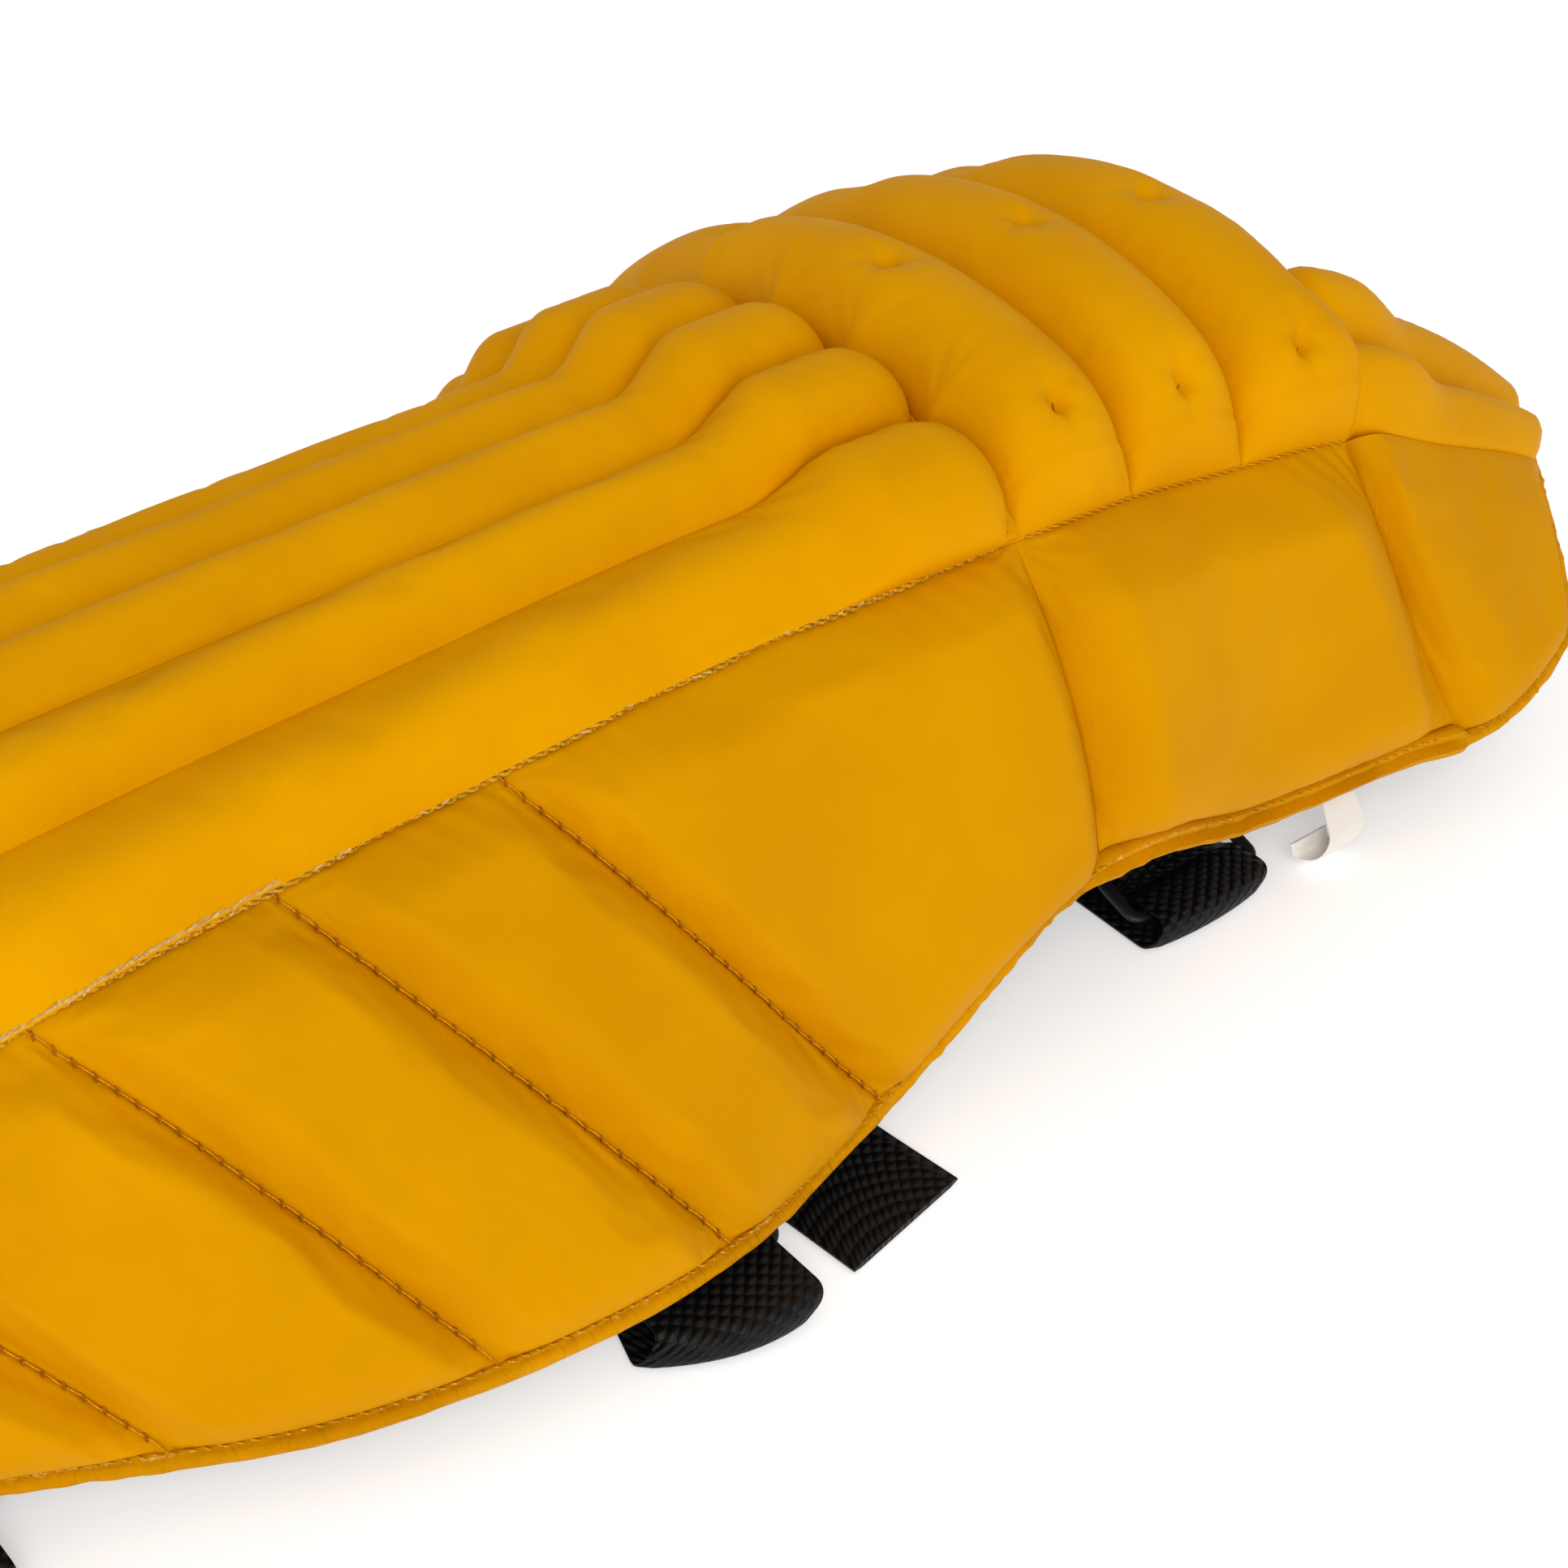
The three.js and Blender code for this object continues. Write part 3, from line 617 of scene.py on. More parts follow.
def shinRise(u, v, s, t):
    style = ribStyle
    width = halfAt(s) * 2 / len(shinRibWidths)
    grow = smooth((s - style["lobeStart"]) / (style["lobeFull"] - style["lobeStart"]))
    top = mix(style["rise"], style["lobeRise"], grow)
    valley = mix(style["valley"], style["lobeValley"], grow)
    wave = np.clip(1 - np.abs(2 * v - 1) ** style["power"], 0, 1)
    shallow = mix(wave, np.sin(np.pi * v) ** 2, style["soft"])
    ring = mix(shallow, np.sqrt(wave), grow)
    toKnee = kneeLine(t) - s
    toFoot = s - footAt(t) - pad["footGap"]
    toEnd = np.maximum(toKnee - style["endRound"] * np.abs(2 * v - 1) ** style["endPower"], 0)
    end = seamRound(toEnd, style["lobeRound"]) * seamRound(toFoot, style["footRound"])
    return valley + (top - valley) * ring * end, closest(v * width, (1 - v) * width, toKnee, toFoot)


for i in range(len(shinRibWidths)):
    area = ribArea(ribEdges, i, lambda t: footAt(t) + pad["footGap"],
                   lambda t: kneeLine(t) - coverStyle["gap"])
    cover(f"shin_rib_{i + 1}", ribStyle, i, area, shinRise)
print("shin ribs sewn")

rollStyle = {
    "names": ["lower", "middle", "upper"],
    "crests": [33.0, 33.0, 31.5],
    "starts": [5.0, 7.0, 7.0],
    "ends": [7.0, 7.0, 6.0],
    "power": 2.1,
    "fall": 34.0,          # how far from the side seam a roll is at its full height
    "fallPower": 3.2,
    "linePower": 3,        # how fast a roll's rows leave the scalloped lines at both ends of the knee
    "tufts": [-95.0, -37.0, 21.0, 79.0],
    "tuftDepth": 3.2,
    "tuftReach": 7.0,
    "pinch": 2.6,
    "pinchDepth": 4.2,
    "spokes": 6,           # small folds round a tuft: number, height, distance and reach
    "spokeRise": 0.3,
    "spokeOut": 6.0,
    "spokeReach": 4.0,
    "softStart": 76.0,     # towards the outer side seam the last groove fades out
    "softReach": 26.0,
    "softEnd": 27.0,
    "grid": (44, 216), "spread": (0.8, 0.2), "fill": 0.85, "seed": 30,
}
lastRoll = len(rollStyle["names"]) - 1


def tuftPlace(i, t):
    return pad["shin"] + pad["roll"] * (i + 0.5), t


def grooveFade(t):
    return smooth((-t - rollStyle["softStart"]) / rollStyle["softReach"])


# towards the side seams everything across the knee falls to the seam's height
def sideFall(s, t, height):
    side = halfAt(s) - np.abs(t)
    fall = 1 - (1 - np.clip(side / rollStyle["fall"], 0, 1)) ** rollStyle["fallPower"]
    return coverStyle["seam"] + (height - coverStyle["seam"]) * fall


def lastGroove(t):
    return mix(rollStyle["ends"][lastRoll], rollStyle["softEnd"], grooveFade(t))


def rollRise(i):
    style = rollStyle

    def rise(u, v, s, t):
        left = np.sqrt(np.clip(1 - np.abs(1 - 2 * u) ** style["power"], 0, 1))
        last = lastGroove(t) if i == lastRoll else style["ends"][i]
        foot = np.where(u < 0.5, style["starts"][i], last)
        height = sideFall(s, t, foot + (style["crests"][i] - foot) * left)
        distances = [u * pad["roll"], (1 - u) * pad["roll"], halfAt(s) - np.abs(t)]
        for tuft in style["tufts"]:
            middle, across = tuftPlace(i, tuft)
            ds, dt = s - middle, t - across
            far = np.hypot(ds, dt)
            height = height - style["tuftDepth"] * hump(far, style["tuftReach"])
            height = height - style["pinchDepth"] * hump(far, style["pinch"])
            spokes = np.cos(style["spokes"] * np.arctan2(dt, ds) + tuft)
            height = height + style["spokeRise"] * spokes * hump(far - style["spokeOut"], style["spokeReach"])
            distances.append(far)
        return height, closest(*distances)

    return rise


def rollArea(i):
    start = pad["shin"] + i * pad["roll"]
    end = start + pad["roll"]
    gap = coverStyle["gap"]
    power = rollStyle["linePower"]

    def area(u, v):
        rough = halfAt(mix(start, end, u)) * mix(-1, 1, v)
        first = start + (kneeLine(rough) - start) * (i == 0) * (1 - u) ** power
        last = end + (topLine(rough) - end) * (i == lastRoll) * u ** power
        s = mix(first + gap, last - gap, u)
        half = halfAt(s) - gap
        return s, mix(-half, half, v)

    return area


for i, place in enumerate(rollStyle["names"]):
    cover(f"knee_roll_{place}", rollStyle, i, rollArea(i), rollRise(i))
print("knee rolls sewn")


# a side panel between two seams, each given by its s at the rib seam and at the edge; its style holds its
# height and the widths of its rounds at rib seam, edge, first and last seam
def sidePanel(name, style, row, side, first, last, inset):
    gap = coverStyle["gap"]

    def area(u, v):
        w = 1 - v if side < 0 else v
        s = mix(mix(first[0], first[1], w) + gap, mix(last[0], last[1], w) - gap, u)
        return s, mix(side * (halfAt(s) + gap), edgeAt(side, s) - side * inset, w)

    def rise(u, v, s, t):
        w = 1 - v if side < 0 else v
        width = np.abs(edgeAt(side, s)) - halfAt(s) - inset
        length = mix(last[0] - first[0], last[1] - first[1], w)
        slant = 1 / np.hypot(1, (last[1] - last[0]) / np.maximum(width, coverStyle["narrowest"]))
        toRib, toEdge = w * width, (1 - w) * width
        toFirst, toLast = u * length * slant, (1 - u) * length * slant
        height = seamFacet(toRib, style["rib"]) * seamRound(toEdge, style["edge"])
        height = height * seamFacet(toFirst, style["first"]) * seamFacet(toLast, style["last"])
        crown = 1 + style["crown"] * np.sin(np.pi * u) * np.sin(np.pi * w)
        top = coverStyle["seam"] + (style["top"] - coverStyle["seam"]) * height * crown
        lift = (1 - seamFacet(toRib, style["rib"])) * seamRound(toFirst, style["first"])
        lift = lift * seamRound(toLast, style["last"])
        return top + style["ribSeam"] * lift, closest(toRib, toEdge, toFirst, toLast)

    # the side panels take the darker copy of the leather, painted shade
    cover(name, style, row, area, rise, sideLeatherPaintedShade)


wingStyle = {
    "top": 13.0, "rib": 17.0, "edge": 15.0, "first": 12.0, "last": 12.5, "crown": 0.1, "ribSeam": 0.0,
    "grid": (70, 70), "spread": (0.6, 0.6), "fill": 0.6, "seed": 50,
}
innerWingStyle = dict(wingStyle, top=12.0, rib=14.0, grid=(54, 36), seed=60)
kneeSideStyle = {
    "top": 17.0, "rib": 22.0, "edge": 16.0, "first": 18.0, "last": 32.0, "crown": 0.1, "ribSeam": 0.0,
    "grid": (76, 64), "spread": (0.6, 0.6), "fill": 0.7, "seed": 70,
}
topSideStyle = {
    "top": 12.0, "rib": 16.0, "edge": 12.0, "first": 14.0, "last": 12.0, "crown": 0.05, "ribSeam": 7.0,
    "grid": (56, 44), "spread": (0.6, 0.6), "fill": 0.6, "seed": 75,
}
inset = coverStyle["edge"]
for side, name, seams in sideSeams:
    style = wingStyle if side < 0 else innerWingStyle
    for i, (first, last) in enumerate(zip(seams, seams[1:])):
        sidePanel(f"{name}_wing_{i + 1}", style, i, side, first, last, inset)
for side, name, seams in sideSeams:
    kneeEnd = pad["kneeTop"], kneeReach[side]
    topCorners = halfAt(pad["length"]), edgeAt(side, pad["length"])
    topEnd = [topAt(across) - inset for across in topCorners]
    kneeInset = coverStyle["kneeEdge"] if side < 0 else inset
    sidePanel(f"knee_side_{name}", kneeSideStyle, side, side, seams[-1], kneeEnd, kneeInset)
    sidePanel(f"top_side_{name}", topSideStyle, side, side, kneeEnd, topEnd, inset)
print("wings and side panels sewn")

topRibStyle = {
    "rise": 16.0, "lobeRise": 23.0, "lobeEnd": 562.0, "flat": 596.0, "round": 11.0, "power": 2.0,
    "valley": 1.0, "endRound": 4.0, "endPower": 2.5, "softReach": 36.0, "topRound": 12.0,
    "flatStart": 0.52, "flatFull": 0.4, "flatShare": 0.3,
    "sideValley": 10.0, "sideStart": 0.85, "sideRise": 15.0,
    "grid": (64, 20), "spread": (0.5, 0.8), "fill": 0.8, "seed": 80,
}


def topRise(u, v, s, t):
    style = topRibStyle
    width = halfAt(s) * 2 / len(topRibWidths)
    settle = smooth((s - style["lobeEnd"]) / (style["flat"] - style["lobeEnd"]))
    top = mix(style["lobeRise"], style["rise"], settle)
    across = np.abs(t) / halfAt(s)
    middle = smooth((style["flatStart"] - across) / (style["flatStart"] - style["flatFull"]))
    aside = smooth((across - style["sideStart"]) / (1 - style["sideStart"]))
    top = mix(top * mix(1.0, style["flatShare"], middle), style["sideRise"], aside)
    ring = np.sqrt(np.clip(1 - np.abs(2 * v - 1) ** style["power"], 0, 1))
    toKnee, toTop = s - topLine(t), topAt(t) - coverStyle["edge"] - s
    toStart = np.maximum(toKnee - style["endRound"] * np.abs(2 * v - 1) ** style["endPower"], 0)
    end = seamRound(toTop, style["topRound"])
    valley = mix(style["valley"], style["sideValley"] * end, aside)
    body = valley + (top - valley) * ring * end
    start = seamRound(toStart, mix(style["round"], style["softReach"], grooveFade(t)))
    near = closest(v * width, (1 - v) * width, toKnee, toTop)
    return mix(sideFall(s, t, lastGroove(t)), body, start), near


for i in range(len(topRibWidths)):
    area = ribArea(topEdges, i, lambda t: topLine(t) + coverStyle["gap"],
                   lambda t: topAt(t) - coverStyle["edge"])
    cover(f"top_rib_{i + 1}", topRibStyle, i, area, topRise)
print("top ribs sewn")

# the covers are cut a little large, held at their seams and tufts, and blown up by their filling
clothStyle = {
    "frames": 12, "cap": 1.4 * mm, "sideways": 0.3, "held": 1.0,
    "rim": 0.499,  # a grid point further than this from the middle is on the rim
}
clothSettings = {
    "quality": 4, "mass": 0.15, "tension_stiffness": 15.0, "compression_stiffness": 15.0,
    "shear_stiffness": 5.0, "bending_stiffness": 8.0, "shrink_min": -0.004,
    "use_pressure": True, "uniform_pressure_force": 0.5, "vertex_group_mass": "sewn",
}
leastLength = 1e-9  # keeps a division by a length safe


def gridIndex(spec, u, v):
    along, across = spec["size"]
    return nearest(u * along) * (across + 1) + nearest(v * across)


def layCloth(spec):
    bm = ringGrid(*spec["size"])
    mesh = bpy.data.meshes.new(spec["name"] + "_cloth")
    bm.to_mesh(mesh)
    bm.free()
    flat = vertexPlaces(mesh) + 0.5
    order = gridIndex(spec, flat[:, 0], flat[:, 1])
    mesh.vertices.foreach_set("co", spec["top"][order].ravel())
    piece = addObject(spec["name"] + "_cloth", mesh)
    sewn = piece.vertex_groups.new(name="sewn")
    rim = np.abs(flat[:, :2] - 0.5).max(1) > clothStyle["rim"]
    held = rim | (spec["near"][order] < clothStyle["held"])
    sewn.add([int(i) for i in np.nonzero(held)[0]], 1.0, "REPLACE")
    cloth = piece.modifiers.new("cover", "CLOTH")
    for key, value in clothSettings.items():
        setattr(cloth.settings, key, value)
    cloth.settings.effector_weights.gravity = 0
    cloth.collision_settings.use_collision = False
    cloth.point_cache.frame_start = 1
    cloth.point_cache.frame_end = clothStyle["frames"]
    return piece, order


def settleCovers():
    laid = [layCloth(spec) for spec in covers]
    for moment in range(1, clothStyle["frames"] + 1):
        bpy.context.scene.frame_set(moment)
    depsgraph = bpy.context.evaluated_depsgraph_get()
    for spec, (piece, order) in zip(covers, laid):
        settled = piece.evaluated_get(depsgraph).to_mesh()
        moved = np.zeros_like(spec["top"])
        moved[order] = vertexPlaces(settled) - spec["top"][order]
        out = unit(spec["out"])
        rise = (moved * out).sum(1)[:, None] * out
        moved = rise + (moved - rise) * clothStyle["sideways"]
        length = np.maximum(np.linalg.norm(moved, axis=1), leastLength)[:, None]
        limited = moved / length * clothStyle["cap"] * np.tanh(length / clothStyle["cap"])
        spec["top"] = spec["top"] + limited
        print(spec["name"], "moved up to", round(float(length.max()) / mm, 1), "mm")
    for piece, order in laid:
        mesh = piece.data
        bpy.data.objects.remove(piece)
        bpy.data.meshes.remove(mesh)
    bpy.context.scene.frame_set(1)


def sewCover(spec):
    def place(u, v, w):
        at = gridIndex(spec, u, v)
        near = spec["near"][at]
        marks = {"pull": np.exp(-near / coverStyle["creaseReach"]) * smooth(near / coverStyle["creaseStart"])}
        return np.where(w[:, None] > 0.5, spec["top"][at], spec["base"][at]), spec["cut"][at], marks

    name = spec["name"]
    piece = finishPiece(name + "_cover", slab(*spec["size"]), spec["material"], name, place)


settleCovers()
for spec in covers:
    sewCover(spec)
print("covers closed")

# the lining: one sheet under everything
liningGrid = 110, 100


def liningPlace(u, v, w):
    s, t = outlineAt(u, v)
    return onPad(s, t, np.where(w > 0.5, 0.0, -pad["lining"])), np.stack([s, t], -1), {}


liningPiece = finishPiece("back_lining_cloth", slab(*liningGrid), lining, "back_lining",
                          liningPlace)

bolsterStyle = {
    "top": -3.3, "rim": 1.5, "endRound": 16.0, "sideRound": 18.0, "spread": 0.6,
    "uneven": (0.5, 30.0, 90), "full": 12.0,
}
bolsterRows = [
    {"name": "shin_bolster_outer", "grid": (120, 26), "s": (95, 372), "t": (-66, -14), "depth": 11},
    {"name": "shin_bolster_inner", "grid": (120, 26), "s": (95, 372), "t": (14, 66), "depth": 11},
    {"name": "knee_bolster", "grid": (50, 66), "s": (412, 528), "t": (-76, 76), "depth": 12},
]


def bolster(row):
    style = bolsterStyle
    length, width = np.ptp(row["s"]), np.ptp(row["t"])

    def place(u, v, w):
        u, v = bunch(u, style["spread"]), bunch(v, style["spread"])
        s, t = mix(*row["s"], u), mix(*row["t"], v)
        toEnd, toSide = np.minimum(u, 1 - u) * length, np.minimum(v, 1 - v) * width
        swell = seamRound(toEnd, style["endRound"]) * seamRound(toSide, style["sideRound"])
        belly = style["top"] - style["rim"] - (row["depth"] - style["rim"]) * swell
        body = smooth(np.minimum(toEnd, toSide) / style["full"])
        belly = belly + body * patchNoise(s, t, *style["uneven"])
        return onPad(s, t, np.where(w > 0.5, style["top"], belly)), np.stack([s, t], -1), {}

    piece = finishPiece(row["name"] + "_pad", slab(*row["grid"]), lining, row["name"], place)


for row in bolsterRows:
    bolster(row)
print("lining and bolsters made")


# points and outward normals of the pad at a height over the lining
def padPath(s, t, h):
    points = onPad(s, t, h)
    outward = onPad(s, t, h + 1.0) - points
    return points, unit(outward)


# threads are drawn as tubes along runs of points, then kept as one mesh
def threadPiece(name, runs, material):
    data = bpy.data.curves.new(name, "CURVE")
    data.dimensions = "3D"
    data.bevel_depth = 1.0
    data.bevel_resolution = 1
    data.use_fill_caps = True
    for points, radii in runs:
        spline = data.splines.new("POLY")
        spline.points.add(len(points) - 1)
        spline.points.foreach_set("co", np.column_stack([points, np.ones(len(points))]).ravel())
        spline.points.foreach_set("radius", np.broadcast_to(radii, len(points)).astype(np.float32))
    holder = addObject(name + "Line", data)
    evaluated = holder.evaluated_get(bpy.context.evaluated_depsgraph_get())
    mesh = bpy.data.meshes.new_from_object(evaluated)
    bpy.data.objects.remove(holder)
    bpy.data.curves.remove(data)
    mesh.name = name
    mesh.materials.clear()
    mesh.materials.append(material)
    mesh.shade_smooth()
    piece = addObject(name, mesh)
    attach(piece, "root")


def evenly(points, outward, step):
    lengths = np.concatenate([[0], np.cumsum(np.linalg.norm(np.diff(points, axis=0), axis=1))])
    at = np.arange(0, lengths[-1], step)
    line = np.stack([np.interp(at, lengths, points[:, k]) for k in range(3)], -1)
    normal = np.stack([np.interp(at, lengths, outward[:, k]) for k in range(3)], -1)
    return line, unit(normal)


def sideways(line, normal):
    along = np.gradient(line, axis=0)
    return unit(np.cross(along, normal))


# plied cord: strands wound round a line
def twisted(points, outward, style, seed):
    line, normal = evenly(points, outward, style["step"])
    side = sideways(line, normal)
    at = np.arange(len(line)) * style["step"]
    wobble = patchNoise(at / mm, 0 * at, *style["wobble"], seed)
    runs = []
    for k in range(style["strands"]):
        turn = 2 * np.pi * (at / style["pitch"] + k / style["strands"]) + wobble * style["turnShare"]
        reach = style["wind"] * (1 + wobble)
        run = line + normal * (reach * np.cos(turn))[:, None] + side * (reach * np.sin(turn))[:, None]
        runs.append((run, style["strand"] * (1 + style["thickShare"] * wobble)))
    return runs


stitchShape = {
    "step": 0.4 * mm, "radii": [0.6, 0.95, 1.0, 1.0, 0.95, 0.6], "askew": 0.15, "thick": (0.9, 1.1),
}


# single stitches along a line, each arched over the seam and slightly askew
def stitches(points, outward, style, seed):
    step, askew, radii = stitchShape["step"], stitchShape["askew"], np.array(stitchShape["radii"])
    line, normal = evenly(points, outward, step)
    side = sideways(line, normal)
    chance = random.Random(seed)
    reach = max(2, int(style["length"] / 2 / step))
    every = int(style["pitch"] / step)
    arch = np.sin(np.linspace(0, np.pi, len(radii)))[:, None]
    runs = []
    for middle in range(every // 2, len(line) - every // 2, every):
        pick = np.linspace(middle - reach, middle + reach, len(radii)).astype(int)
        pick = np.clip(pick, 0, len(line) - 1)
        lean = np.linspace(-1, 1, len(radii))[:, None] * (style["askew"] + chance.uniform(-askew, askew) * mm)
        run = line[pick] + normal[pick] * (arch * style["lift"]) + side[pick] * lean
        runs.append((run, style["radius"] * radii * chance.uniform(*stitchShape["thick"])))
    return runs


cordStyle = {
    "start": 2, "end": 396, "points": 400, "height": 4.6, "drift": (0.5, 18), "driftSeed": 7,
    "strands": 2, "wind": 0.5 * mm, "strand": 0.55 * mm, "pitch": 6.5 * mm, "step": 0.8 * mm, "seed": 5,
    "wobble": (0.35, 6), "turnShare": 3, "thickShare": 0.3,
}
fleckStyle = {
    "count": 26, "lift": 0.95 * mm, "lean": np.array([-0.5, 0.1, 0.7]), "radius": (0.15, 0.32), "seed": 15,
}
style = cordStyle
ribSeamS = np.linspace(style["start"], style["end"], style["points"])
cordRuns, fleckRuns = [], []
for side in (-1, 1):
    drift = patchNoise(ribSeamS, 0 * ribSeamS, *style["drift"], style["driftSeed"] + side)
    points, outward = padPath(ribSeamS, side * halfAt(ribSeamS) + drift, style["height"])
    cordRuns += twisted(points, outward, style, style["seed"] + side)
    across = sideways(points, outward)
    chance = random.Random(fleckStyle["seed"] + side)
    for k in range(fleckStyle["count"]):
        at = chance.randrange(2, len(points) - 4)
        lean = chance.uniform(-1, 1)
        pick = np.array([at, at + 1, at + 2])
        lift = outward[pick] * fleckStyle["lift"] + across[pick] * (lean * fleckStyle["lean"] * mm)[:, None]
        fleckRuns.append((points[pick] + lift, chance.uniform(*fleckStyle["radius"]) * mm))
threadPiece("rib_seam_cord", cordRuns, cordThread)

# the raw edge beside the outer cord: short pale fibres, where the cover is worn through
frayStyle = {
    "start": 90.0, "end": 187.0, "count": 300, "seed": 77, "inset": 0.4, "height": 5.2, "points": 4,
    "reach": (0.1, 1.1), "lift": (0.1, 0.4), "length": (2.0, 6.0), "radius": (0.06, 0.12),
    "nearShare": 0.3, "arch": (0.3, 2.6),
}
style = frayStyle
chance = random.Random(style["seed"])
for k in range(style["count"]):
    s0 = chance.uniform(style["start"], style["end"])
    reach = chance.uniform(*style["reach"])
    lift = chance.uniform(*style["lift"])
    s = s0 + np.linspace(0, chance.uniform(*style["length"]), style["points"])
    t = -halfAt(s) + style["inset"] + np.linspace(style["nearShare"] * reach, reach, style["points"])
    h = style["height"] + reach + lift * np.sin(np.linspace(*style["arch"], style["points"]))
    fleckRuns.append((padPath(s, t, h)[0], chance.uniform(*style["radius"]) * mm))
threadPiece("seam_flecks", fleckRuns, rawFibre)

# wing seams: a fine thread that lies in the crease, with dark blobs between its stitches: painted shade in
# the needle holes
wingStitch = {
    "radius": 0.24 * mm, "height": 4.0, "every": 5.8, "points": 260, "step": 0.5, "dip": 0.3,
    "wander": (0.25, 5), "seed": 20, "clear": 2,
    "holeShade": 0.33 * mm, "holeShadeSlant": np.array([-0.6, 0, 0.6]), "holeShadeLift": np.array([-0.2, 0.35, -0.2]),
}
style = wingStitch
wingRuns, holeShadeRuns = [], []
for side, name, seams in sideSeams:
    for k, (ribS, edgeS) in enumerate(seams[1:-1]):
        share = np.linspace(0.0, 1.0, style["points"])
        s = mix(ribS, edgeS, share)
        t = mix(side * halfAt(s), edgeAt(side, s) - side * coverStyle["edge"], share)
        points, outward = padPath(s, t, style["height"])
        line, normal = evenly(points, outward, style["step"] * mm)
        across = sideways(line, normal)
        travel = np.arange(len(line)) * style["step"]
        wander = patchNoise(travel, 0 * travel, *style["wander"], style["seed"] + k)
        dip = style["dip"] * np.cos(2 * np.pi * travel / style["every"])
        run = line + scaled(normal, dip) + scaled(across, wander)
        wingRuns.append((run, style["radius"]))
        # a dark blob at each stop between stitches: painted shade where the needle holes are
        for stop in np.arange(style["every"] / 2, travel[-1] - style["clear"], style["every"]):
            middle = int(stop / style["step"])
            pick = np.array([middle - 2, middle, middle + 2])
            holeShade = line[pick] + scaled(normal[pick], style["holeShadeLift"])
            holeShade = holeShade + scaled(across[pick], style["holeShadeSlant"])
            holeShadeRuns.append((holeShade, style["holeShade"]))
threadPiece("wing_seam_thread", wingRuns, seamThread)
threadPiece("wing_seam_hole_shade", holeShadeRuns, holeShadeAndDarkThread)

# the seam between knee rolls and side panel, and single stitches where two lobes meet the lower roll
kneeStitch = {
    "start": pad["shin"] + 3, "end": pad["kneeTop"] - 2, "points": 200, "height": 3.5, "seed": 40,
    "pitch": 3.4 * mm, "length": 2.5 * mm, "radius": 0.3 * mm, "lift": 0.4 * mm, "askew": 0.4 * mm,
}
lobeStitch = dict(kneeStitch, start=pad["shin"] - 13, end=pad["shin"] - 1, points=30, seed=44,
                  height=ribStyle["lobeValley"] + 0.5, askew=0.2 * mm)
kneeLines = [(side, kneeStitch, kneeStitch["seed"] + side) for side in (-1, 1)]
kneeLines += [(edge, lobeStitch, lobeStitch["seed"]) for edge in ribEdges[1:-1]]
kneeRuns = []
for share, style, seed in kneeLines:
    s = np.linspace(style["start"], style["end"], style["points"])
    points, outward = padPath(s, share * halfAt(s), style["height"])
    kneeRuns += stitches(points, outward, style, seed)
threadPiece("knee_seam_stitches", kneeRuns, seamThread)

tuftStitch = {"reach": 1.2, "points": 7, "heading": (0.5, 1.4), "lift": 0.3 * mm, "radius": 0.26 * mm}
style = tuftStitch
tuftArch = style["lift"] * np.sin(np.linspace(0, np.pi, style["points"]))[:, None]
tuftRuns = []
for i in range(len(rollStyle["names"])):
    for k, tuft in enumerate(rollStyle["tufts"]):
        s0, t0 = tuftPlace(i, tuft)
        heading = random.Random(100 * i + k).uniform(*style["heading"])
        reach = np.linspace(-style["reach"], style["reach"], style["points"])
        s, t = s0 + reach * math.cos(heading), t0 + reach * math.sin(heading)
        middle = np.full(style["points"], 0.5)
        points, outward = padPath(s, t, rollRise(i)(middle, middle, s, t)[0])
        tuftRuns.append((points + outward * tuftArch, style["radius"]))
threadPiece("knee_tufts", tuftRuns, holeShadeAndDarkThread)
print("seams stitched")

walkStyle = {
    "edgeSteps": 260, "topSteps": 90, "footSteps": 130, "ahead": 5,
    "kneeStart": 401, "kneeEnd": 580, "kneeBlend": 6,
}


# the outline as one closed walk: outer edge, top, inner edge, foot
def outlineWalk():
    style = walkStyle
    legs = [
        ((0, 0), (1, 0), style["edgeSteps"]), ((1, 0), (1, 1), style["topSteps"]),
        ((1, 1), (0, 1), style["edgeSteps"]), ((0, 1), (0, 0), style["footSteps"]),
    ]
    us = np.concatenate([np.linspace(a[0], b[0], n, endpoint=False) for a, b, n in legs])
    vs = np.concatenate([np.linspace(a[1], b[1], n, endpoint=False) for a, b, n in legs])
    s, t = outlineAt(us, vs)
    points, outward = padPath(s, t, 0.0)
    along = np.zeros_like(points)
    for reach in range(1, style["ahead"] + 1):
        along += np.roll(points, -reach, 0) - np.roll(points, reach, 0)
    away = unit(np.cross(unit(along), outward))
    steps = np.linalg.norm(np.roll(points, -1, 0) - points, axis=1)
    travel = np.concatenate([[0], np.cumsum(steps)[:-1]]) / mm
    knee = smooth((s - style["kneeStart"]) / style["kneeBlend"])
    knee = knee * smooth((style["kneeEnd"] - s) / style["kneeBlend"]) * (vs == 0)
    return {
        "points": points, "outward": outward, "away": away, "travel": travel,
        "knee": knee, "count": len(points),
    }


walk = outlineWalk()
# section of the binding: out from the outline and up from the lining, wrapped round the lining's edge
bindingSection = [
    (-4.5, 0.8), (-4.6, 2.2), (-4.1, 3.6), (-3.2, 4.1), (-2.4, 3.9), (-1.4, 4.6), (0.2, 5.0), (2.0, 4.9),
    (3.8, 4.1), (5.0, 2.6), (5.5, 0.6), (5.3, -1.4), (4.4, -3.1), (2.8, -4.2), (0.6, -4.6), (-2.0, -4.6),
    (-4.6, -4.3), (-4.8, -3.5), (-1.5, -3.6), (1.4, -3.4), (2.6, -2.0), (2.9, 0.0), (1.8, 1.1), (-1.0, 1.0),
]
sectionOut = np.array([p[0] for p in bindingSection])
sectionUp = np.array([p[1] for p in bindingSection])
